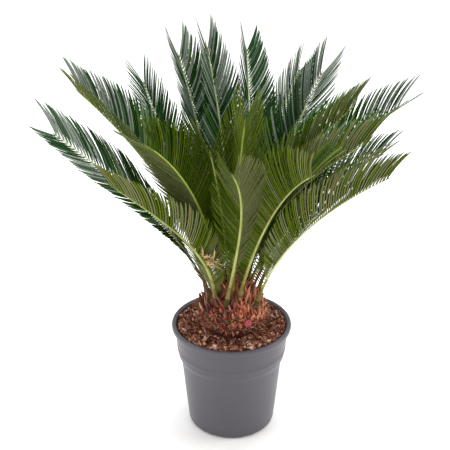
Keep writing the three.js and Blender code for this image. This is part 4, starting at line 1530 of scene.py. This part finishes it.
@dataclass
class Caudex:
    """The short swollen trunk: old leaf bases in a spiral, rusty scale leaves, loose fibres and a bulbil.

    Attributes:
        foot_z: The height of its flat foot on the compost.
        foot_radius: The radius of the foot.
        waist_radius: The greatest radius.
        waist_z: The height of the greatest radius.
        waist_share: The share of the way up the bark where that is.
        top_z: The height of the crown's middle.
        rings: The number of rings of the bark.
        columns: The number of steps round it.
        boss: The height of the bosses under the leaf bases.
        boss_turns: Half the number of bosses round the bark.
        boss_climb: How steeply the two spirals of bosses climb.
        relief: The rough relief of the bark.
        least_radius: The radius under which the relief doesn't grow any further.
        blades: The kinds of blade that stand on the bark.
        spiral_jitter: The irregularity of their heights and angles in the spiral.
        bark_ends: The shares of the way up that they keep to.
        bend: Their least bend and its spread, degrees.
        browns: How their browns are dealt out.
        bulbil: The bulbil.
        draws: The random draws of the small irregularities.
    """

    foot_z: float = 174 * MM
    foot_radius: float = 40 * MM
    waist_radius: float = 53 * MM
    waist_z: float = 201 * MM
    waist_share: float = 0.42
    top_z: float = 238 * MM
    rings: int = 70
    columns: int = 160
    boss: float = 2.2 * MM
    boss_turns: float = 6.5
    boss_climb: float = 260.0
    relief: Relief = Relief(1.2 * MM, 160)
    least_radius: float = 10 * MM
    blades: tuple[BarkBlades, ...] = BARK_BLADES
    spiral_jitter: tuple[float, float] = (0.02, 0.12)
    bark_ends: tuple[float, float] = (0.01, 0.97)
    bend: tuple[float, float] = (4.0, 8.0)
    browns: BrownRule = BrownRule()
    bulbil: Bulbil = field(default_factory=Bulbil)
    draws: Draws = field(default_factory=lambda: Draws(seed=21))

    def outline_at(self, share: np.ndarray) -> tuple[np.ndarray, np.ndarray]:
        """Gives the bark's outline.

        Args:
            share: Shares of the way from the foot over the shoulder to the top.

        Returns:
            The radius and the height there.
        """
        waist = self.waist_share
        below = np.clip(share / waist, 0, 1)
        climb = np.clip((share - waist) / (1 - waist), 0, 1) * math.pi / 2
        lower = between((self.foot_radius, self.waist_radius), np.sin(below * math.pi / 2))
        radius = np.where(share < waist, lower, self.waist_radius * np.cos(climb))
        lower = between((self.foot_z, self.waist_z), below)
        return radius, np.where(share < waist, lower, between((self.waist_z, self.top_z), np.sin(climb)))

    def build_core(self) -> None:
        """Builds the bark with bosses in a spiral and a rough relief."""
        rings = [[(0.0, 0.0, self.foot_z)]]
        for radius, z in list(zip(*self.outline_at(np.linspace(0, 1, self.rings))))[:-1]:
            ring = []
            for column, point in enumerate(circle(radius, z, self.columns)):
                place = Vector(point)
                turn = self.boss_turns * 2 * math.pi * column / self.columns
                climb = self.boss_climb * z
                boss = self.boss * abs(math.sin(turn + climb)) * abs(math.sin(turn - climb))
                grown = 1 + (boss + self.relief.at(place)) / max(radius, self.least_radius)
                ring.append((place.x * grown, place.y * grown, z))
            rings.append(ring)
        mesh = skinned("caudex_bark", [*rings, [(0.0, 0.0, self.top_z)]])
        mesh.materials.append(CORE.material())
        new_piece("caudex_bark", mesh, ("caudex",))

    def spiral(self, kind: BarkBlades) -> tuple[np.ndarray, ...]:
        """Places blades in a spiral over the bark.

        Args:
            kind: The kind of blade.

        Returns:
            The shares of the way up, the angles, the places and the level outward directions.
        """
        count = kind.count
        share_jitter, angle_jitter = self.spiral_jitter
        share = between(kind.band, (np.arange(count) + 0.5) / count)
        share = np.clip(share + self.draws.normal(count, (0, share_jitter)), *self.bark_ends)
        angle = kind.start + GOLDEN_ANGLE * np.arange(count) + self.draws.normal(count, (0, angle_jitter))
        outward = np.stack([np.cos(angle), np.sin(angle), np.zeros(count)], axis=1)
        radius, height = self.outline_at(share)
        return share, angle, outward * radius[:, None] + UP * height[:, None], outward

    def standing(self, kind: BarkBlades) -> Blades:
        """Stands one kind of blade on the bark.

        Args:
            kind: The kind of blade.

        Returns:
            The blades, with their fronts outwards.
        """
        count, draws = kind.count, self.draws
        share, angle, place, outward = self.spiral(kind)
        start, end = kind.rise
        upper = np.clip((share - start) / (end - start), 0, 1)
        lean = np.radians(draws.normal(count, kind.lean) + kind.rise_lean * upper)[:, None]
        yaw = draws.normal(count, (0, kind.yaw))[:, None]
        length = np.full(count, kind.length)
        for plain, by_height in kind.growth:
            length = length + draws.even(count, (0, plain + by_height * upper))
        least, extent = kind.width
        width = draws.even(count, (least, extent + kind.rise_width * upper))
        curl = draws.normal(count, kind.curl)
        if kind.shift is None:
            tint = draws.rng.integers(0, len(FIBRE_FINISHES), count)
        else:
            tint = self.browns.deal(draws, share, angle, kind.shift)
        aside = np.cross(UP, outward)
        ahead = (UP * np.cos(yaw) + aside * np.sin(yaw)) * np.cos(lean) + outward * np.sin(lean)
        across = aside * np.cos(yaw) - UP * np.sin(yaw)
        facing = np.cross(ahead, across)
        flip = np.where((facing * outward).sum(axis=1) < 0, -1.0, 1.0)[:, None]
        least, spread = self.bend
        bend = np.radians(least + spread * np.abs(draws.rng.standard_normal(count)))
        root = place - outward * kind.sink
        return Blades(root, ahead, across * flip, facing * flip, length, width, bend, curl, tint, tint)

    def build_blades(self) -> None:
        """Builds the old leaf bases, the scale and spear leaves and the loose fibres."""
        palette = BladePalette(SCALE_FINISHES, SCALE_FINISHES, SCALE_FINISHES[Brown.DARK])
        scales = BladeTree("scales_on_caudex", palette)
        fibres = BladeTree("fibres_on_caudex", BladePalette(FIBRE_FINISHES, FIBRE_FINISHES, STRAW))
        for kind in self.blades:
            tree = fibres if kind.shift is None else scales
            points = self.standing(kind).points()
            mesh = tree.grow(points, {"Blade": kind.shape.carrier(), "Depth": kind.depth})
            new_piece(kind.name, mesh)

    def build(self) -> None:
        """Builds every part of the caudex."""
        self.build_core()
        self.build_blades()
        self.bulbil.build(self.waist_radius)


# ---------------------------------------------------------------- compost


class ChipTree(NodeTree):
    """Scatters chips over a surface, turned and sized at random, and paints them.

    The paint is drawn from its own seed, a step away from the chips' own. Each chip is painted with every
    finish whose limit its draw passes, and the first limit lies below every draw.
    """

    FULL_TURN = (6.28, 6.28, 6.28)
    PAINT_SEED_STEP = 31.0
    FIRST_LIMIT = -1e-4

    def __init__(self, mix: tuple[tuple[Finish, float], ...]) -> None:
        """Wires the tree.

        Args:
            mix: The finishes of the chips, each with how often it comes up.
        """
        super().__init__("chips_on_compost")
        chip = self.take("Chip", "Object")
        density = self.take("Density", "Float")
        smallest = self.take("Smallest", "Float")
        largest = self.take("Largest", "Float")
        seed = self.take("Seed", "Int")
        wires = {"Mesh": self.entry.outputs[0], "Density": density, "Seed": seed}
        scattered = self.node("GeometryNodeDistributePointsOnFaces", wires)
        turn = self.random("FLOAT_VECTOR", (0.0, 0.0, 0.0), self.FULL_TURN, seed)
        size = self.random("FLOAT", smallest, largest, seed)
        shape = self.node("GeometryNodeObjectInfo", {"Object": chip}).outputs["Geometry"]
        wires = {"Points": scattered.outputs["Points"], "Instance": shape, "Rotation": turn, "Scale": size}
        placed = self.node("GeometryNodeInstanceOnPoints", wires).outputs[0]
        draw = self.random("FLOAT", 0.0, 1.0, self.math("ADD", seed, self.PAINT_SEED_STEP))
        wires = {"Geometry": placed, "Name": "draw", "Value": draw}
        stored = self.node("GeometryNodeStoreNamedAttribute", wires, data_type="FLOAT", domain="INSTANCE")
        whole = self.node("GeometryNodeRealizeInstances", {0: stored.outputs[0]}).outputs[0]
        value = self.attribute("draw", "FLOAT")
        limit = self.FIRST_LIMIT
        for finish, weight in mix:
            chosen = self.math("GREATER_THAN", value, limit)
            wires = {"Geometry": whole, "Selection": chosen, "Material": finish.material()}
            whole = self.node("GeometryNodeSetMaterial", wires).outputs[0]
            limit += weight
        self.close(whole)

    def random(self, kind: str, low: object, high: object, seed: object) -> bpy.types.NodeSocket:
        """Returns a random value of kind FLOAT or FLOAT_VECTOR between low and high."""
        first, result = (0, 0) if kind == "FLOAT_VECTOR" else (2, 1)
        wires = {first: low, first + 1: high, "Seed": seed}
        return self.node("FunctionNodeRandomValue", wires, data_type=kind).outputs[result]


@dataclass(frozen=True)
class ChipKind:
    """One kind of loose chip on the compost.

    Attributes:
        name: The name of its piece, without the compost prefix.
        size: Its length, width and thickness.
        density: How many there are to a square metre.
        scales: The least and the greatest scale of a chip.
        seed: The seed of its ragged shape and of its places.
    """

    name: str
    size: tuple[float, float, float]
    density: float
    scales: tuple[float, float]
    seed: int


CHIP_KINDS = (
    ChipKind("crumbs", (2.6 * MM, 2.1 * MM, 1.7 * MM), 300000.0, (0.6, 1.5), 3),
    ChipKind("chips", (6.0 * MM, 4.2 * MM, 2.2 * MM), 80000.0, (0.6, 1.5), 5),
    ChipKind("flakes", (9.5 * MM, 7.0 * MM, 3.0 * MM), 14000.0, (0.7, 1.3), 8),
    ChipKind("slivers", (13.0 * MM, 1.1 * MM, 0.9 * MM), 12000.0, (0.5, 1.2), 13),
)


@dataclass
class Compost:
    """The bark and peat compost that fills the pot to just under its lip.

    Attributes:
        top_z: The height of the surface round the caudex.
        rim_radius: The radius of the surface at the pot's wall.
        side: The radius and height of the plug's outline, from its foot up to its surface.
        relief: The lumps of the surface.
        rim_rise: How much higher the surface is at the wall.
        rise_radius: The radius where that rise starts.
        hollow: The place of the hollow in front of the caudex, along X and Y.
        hollow_reach: How far it reaches along X and Y.
        hollow_depth: How far it sinks.
        rings: The number of rings of the surface.
        columns: The number of steps round it.
        chips: The kinds of loose chip.
        raggedness: How far the corners of a chip stand out of their place, as a share.
        ground_radii: The radii between which chips lie.
        ground_lift: How high over the surface their middles lie.
        ground_rings: The number of rings of the ground that the chips are scattered on.
        ground_columns: The number of steps round it.
    """

    top_z: float = 176 * MM
    rim_radius: float = 87.2 * MM
    side: tuple[tuple[float, float], ...] = (
        (64 * MM, 3.2 * MM), (68.3 * MM, 7 * MM), (79.3 * MM, 119.5 * MM), (83.8 * MM, 126.5 * MM),
        (87.2 * MM, 160 * MM),
    )
    relief: Relief = Relief(2.2 * MM, 55, fading=0.8)
    rim_rise: float = 1.8 * MM
    rise_radius: float = 55 * MM
    hollow: tuple[float, float] = (-10 * MM, -57 * MM)
    hollow_reach: tuple[float, float] = (30 * MM, 8 * MM)
    hollow_depth: float = 13 * MM
    rings: int = 44
    columns: int = 180
    chips: tuple[ChipKind, ...] = CHIP_KINDS
    raggedness: float = 0.28
    ground_radii: tuple[float, float] = (44 * MM, 85.2 * MM)
    ground_lift: float = 0.6 * MM
    ground_rings: int = 16
    ground_columns: int = 120

    def surface_ring(self, radius: float, columns: int, lift: float = 0.0) -> list[Point]:
        """Makes a ring of points on the lumpy surface.

        Args:
            radius: The ring's radius.
            columns: The number of its points.
            lift: How far it is lifted over the surface.

        Returns:
            The points.
        """
        rise = self.rim_rise * float(smoothstep(np.array(radius), self.rise_radius, self.rim_radius))
        ring = []
        for x, y, height in circle(radius, self.top_z + rise, columns):
            place = Vector((x, y, 0.0))
            away = [(at - middle) / reach
                    for at, middle, reach in zip(place.xy, self.hollow, self.hollow_reach)]
            sunk = self.hollow_depth * math.exp(-sum(share**2 for share in away))
            ring.append((x, y, height + self.relief.at(place) - sunk + lift))
        return ring

    def build_plug(self) -> None:
        """Builds the plug of compost with its lumpy surface."""
        rings = [[(0.0, 0.0, self.side[0][1])]]
        rings += [circle(radius, height, self.columns) for radius, height in self.side]
        for ring in range(self.rings):
            rings.append(self.surface_ring(self.rim_radius * (1 - ring / self.rings), self.columns))
        mesh = skinned("compost", [*rings, [(0.0, 0.0, self.top_z)]])
        mesh.materials.append(PEAT.material())
        new_piece("compost", mesh, ("soil",))

    def chip(self, kind: ChipKind) -> bpy.types.Object:
        """Returns an unlinked object that holds one ragged chip of a kind."""
        shape = bmesh.new()
        bmesh.ops.create_icosphere(shape, subdivisions=1, radius=0.5)
        draws = Draws(kind.seed)
        for vertex in shape.verts:
            jolt = draws.normal(3, (1, self.raggedness))
            vertex.co = Vector((vertex.co[axis] * kind.size[axis] * jolt[axis] for axis in range(3)))
        mesh = bpy.data.meshes.new(kind.name)
        shape.to_mesh(mesh)
        shape.free()
        return bpy.data.objects.new(kind.name, mesh)

    def build_chips(self) -> None:
        """Scatters crumbs, chips, flakes and slivers over the surface."""
        rings = []
        for ring in range(self.ground_rings):
            low, high = self.ground_radii
            radius = low + (high - low) * ring / (self.ground_rings - 1)
            rings.append(self.surface_ring(radius, self.ground_columns, self.ground_lift))
        ground = skinned("ground", rings, flipped=True)
        tree = ChipTree(CHIP_MIX)
        for kind in self.chips:
            smallest, largest = kind.scales
            values = {"Chip": self.chip(kind), "Density": kind.density, "Seed": kind.seed}
            values |= {"Smallest": smallest, "Largest": largest}
            new_piece(f"compost_{kind.name}", tree.grow(ground.copy(), values))

    def build(self) -> None:
        """Builds the plug and its loose surface."""
        self.build_plug()
        self.build_chips()


# ---------------------------------------------------------------- pot


@dataclass
class Pot:
    """The moulded nursery pot: tapered body, stepped collar, rolled lip and notches round its foot.

    The bead's share says how far out it lies from the collar's foot to its top. A rounded block cuts each
    notch; its place is its distance from the axis and its height.
    """

    height: float = 182 * MM
    lip_radius: float = 96.3 * MM
    collar_radius: float = 90 * MM
    collar_foot_radius: float = 86 * MM
    collar_foot_z: float = 126 * MM
    body_top_radius: float = 81.5 * MM
    body_top_z: float = 119 * MM
    body_foot_radius: float = 70.5 * MM
    foot_radius: float = 66 * MM
    wall: float = 1.8 * MM
    floor: float = 2.6 * MM
    bead_z: float = 138 * MM
    bead_share: float = 0.4
    notches: int = 8
    notch_place: tuple[float, float] = (67.25 * MM, 2.25 * MM)
    notch_size: tuple[float, float, float] = (18.5 * MM, 13 * MM, 6.5 * MM)
    notch_round: float = 1.2 * MM
    notch_steps: int = 3
    segments: int = 192
    sharp_angle: float = 50.0

    def profile(self) -> list[tuple[float, float]]:
        """Returns the radius and height of the wall, up the outside and down the inside."""
        bead = between((self.collar_foot_radius, self.collar_radius), self.bead_share)
        inner_collar = self.collar_radius - self.wall
        inner_foot = self.body_foot_radius - self.wall
        # Each corner's radius and height, with the points round it in millimetres from there.
        corners = (
            (0.0, 0.0, ((0, 0),)),
            (self.foot_radius, 0.0, ((-1.5, 0), (0, 0.4), (2.2, 2.4), (3.8, 4.6))),
            (self.body_foot_radius, 0.0, ((0, 7.5), (3.9, 45), (7.7, 85))),
            (self.body_top_radius, self.body_top_z, ((-0.15, -3), (0.25, -0.6), (1.2, 0.9))),
            (self.collar_foot_radius, self.collar_foot_z, ((-1.1, -1.6), (-0.2, -0.2), (0.15, 1.4))),
            (bead, self.bead_z, ((-0.5, -2.2), (-0.25, -1.3), (0.7, -0.5), (0.8, 0.4), (0.15, 1.4))),
            (self.collar_radius, self.height, ((-0.8, -30), (0, -22), (0, -10.4), (0.6, -9.2))),
            (self.lip_radius, self.height, ((-1.6, -8.4), (-0.5, -7.6), (0, -5.8), (0, -3.2))),
            (self.lip_radius, self.height, ((-0.5, -1.4), (-1.5, -0.3), (-2.8, 0))),
            (self.collar_radius, self.height, ((0.9, -0.4), (-0.6, -1.8))),
            (inner_collar, self.height, ((0, -4), (0, -24))),
            (self.collar_foot_radius - self.wall, self.collar_foot_z, ((0, 0),)),
            (self.body_top_radius - self.wall, self.body_top_z, ((0, 0),)),
            (inner_foot, self.floor, ((0, 3.4), (-1.5, 0))),
            (0.0, self.floor, ((0, 0),)),
        )
        return [(radius + out * MM, height + up * MM)
                for radius, height, points in corners for out, up in points]

    def cutter(self) -> bpy.types.Object:
        """Returns an unlinked object with a block for each drainage notch."""
        blocks = bmesh.new()
        radius, height = self.notch_place
        for number in range(self.notches):
            turn = Matrix.Rotation(2 * math.pi * (number + 0.5) / self.notches, 4, "Z")
            place = turn @ Matrix.Translation((radius, 0.0, height))
            size = Matrix.Diagonal((*self.notch_size, 1.0))
            made = bmesh.ops.create_cube(blocks, size=1.0, matrix=place @ size)
            edges = {edge for vertex in made["verts"] for edge in vertex.link_edges}
            bmesh.ops.bevel(blocks, geom=list(edges), offset=self.notch_round, segments=self.notch_steps,
                            affect="EDGES")
        mesh = bpy.data.meshes.new("notch_blocks")
        blocks.to_mesh(mesh)
        blocks.free()
        return bpy.data.objects.new("notch_blocks", mesh)

    def build(self) -> None:
        """Builds the pot with its notches."""
        mesh = turned("pot_wall", self.profile(), self.segments)
        body = bpy.data.objects.new("pot_body", mesh)
        cutter = self.cutter()
        for thing in (body, cutter):
            bpy.context.scene.collection.objects.link(thing)
        cut = body.modifiers.new("notches", "BOOLEAN")
        cut.object = cutter
        cut.operation = "DIFFERENCE"
        cut.solver = "EXACT"
        depsgraph = bpy.context.evaluated_depsgraph_get()
        made = bpy.data.meshes.new_from_object(body.evaluated_get(depsgraph), depsgraph=depsgraph)
        for thing in (body, cutter):
            bpy.data.objects.remove(thing)
        made.materials.clear()
        made.materials.append(POT_PLASTIC.material())
        made.set_sharp_from_angle(angle=math.radians(self.sharp_angle))
        new_piece("nursery_pot", made, ("pot",))


# ---------------------------------------------------------------- studio


@dataclass(frozen=True)
class Softbox:
    """A square softbox that faces the plant, with the length of its sides and its power in watts."""

    name: str
    place: Point
    size: float
    power: float
    colour: Colour = (1.0, 1.0, 1.0)

    def build(self, aim: Point) -> None:
        """Hangs the softbox so that it faces the aim."""
        light = bpy.data.lights.new(self.name, "AREA")
        light.shape = "SQUARE"
        light.size = self.size
        light.energy = self.power
        light.color = self.colour
        lamp = bpy.data.objects.new(self.name, light)
        bpy.context.scene.collection.objects.link(lamp)
        lamp.location = self.place
        lamp.rotation_euler = (Vector(aim) - Vector(self.place)).to_track_quat("-Z", "Y").to_euler()


FLOOR_WHITE = Finish("floor_white", (0.94, 0.94, 0.94), (0.94, 0.94, 0.94), roughness=0.9, specular=0.1)
WARM_LIGHT = (1.0, 0.95, 0.91)
SOFTBOXES = (
    Softbox("softbox_top", (0.1, 0.5, 2.3), 1.6, 60.0),
    Softbox("softbox_left", (-1.9, -0.5, 1.4), 1.1, 14.5, WARM_LIGHT),
    Softbox("softbox_right", (2.0, 0.1, 1.3), 1.1, 18.5, WARM_LIGHT),
)


@dataclass
class Studio:
    """A pale floor, soft light, a white sky and the camera, whose lens and sensor are in millimetres."""

    softboxes: tuple[Softbox, ...] = SOFTBOXES
    aim: Point = (0.0, 0.0, 0.3)
    sky: float = 1.0
    camera_place: Point = (-0.0105, -1.390, 1.013)
    camera_down: float = 25.4
    lens: float = 80.0
    sensor: float = 36.0
    clip_end: float = 50.0
    floor_size: float = 16.0
    floor_finish: Finish = FLOOR_WHITE

    def build_floor(self) -> None:
        """Lays the floor."""
        half = self.floor_size / 2
        corners = np.array([(-half, -half, 0), (half, -half, 0), (half, half, 0), (-half, half, 0)])
        mesh = mesh_of("floor", corners, [(0, 1, 2, 3)])
        mesh.materials.append(self.floor_finish.material())
        floor = bpy.data.objects.new("floor", mesh)
        bpy.context.scene.collection.objects.link(floor)

    def build_sky(self) -> None:
        """Lights the studio evenly from all sides."""
        world = bpy.data.worlds.new("studio_sky")
        world.use_nodes = True
        background = next(node for node in world.node_tree.nodes if node.type == "BACKGROUND")
        tuned(background, {"Color": (1.0, 1.0, 1.0, 1.0), "Strength": self.sky})
        bpy.context.scene.world = world
        bpy.context.scene.view_settings.view_transform = "Standard"

    def build_camera(self) -> None:
        """Sets up the camera."""
        data = bpy.data.cameras.new("camera")
        data.lens = self.lens
        data.sensor_width = self.sensor
        data.clip_end = self.clip_end
        camera = bpy.data.objects.new("camera", data)
        bpy.context.scene.collection.objects.link(camera)
        camera.location = self.camera_place
        camera.rotation_euler = (math.radians(90 - self.camera_down), 0.0, 0.0)
        bpy.context.scene.camera = camera

    def build(self) -> None:
        """Builds the floor, the lights, the sky and the camera."""
        self.build_floor()
        for softbox in self.softboxes:
            softbox.build(self.aim)
        self.build_sky()
        self.build_camera()


def main() -> None:
    """Builds every sub-assembly and reports it."""
    logging.basicConfig(level=logging.INFO, format="%(name)s: %(message)s")
    for part in (Studio(), Pot(), Compost(), Caudex(), Crown()):
        part.build()
        log.info("%s is built", type(part).__name__)


if __name__ == "__main__":
    main()
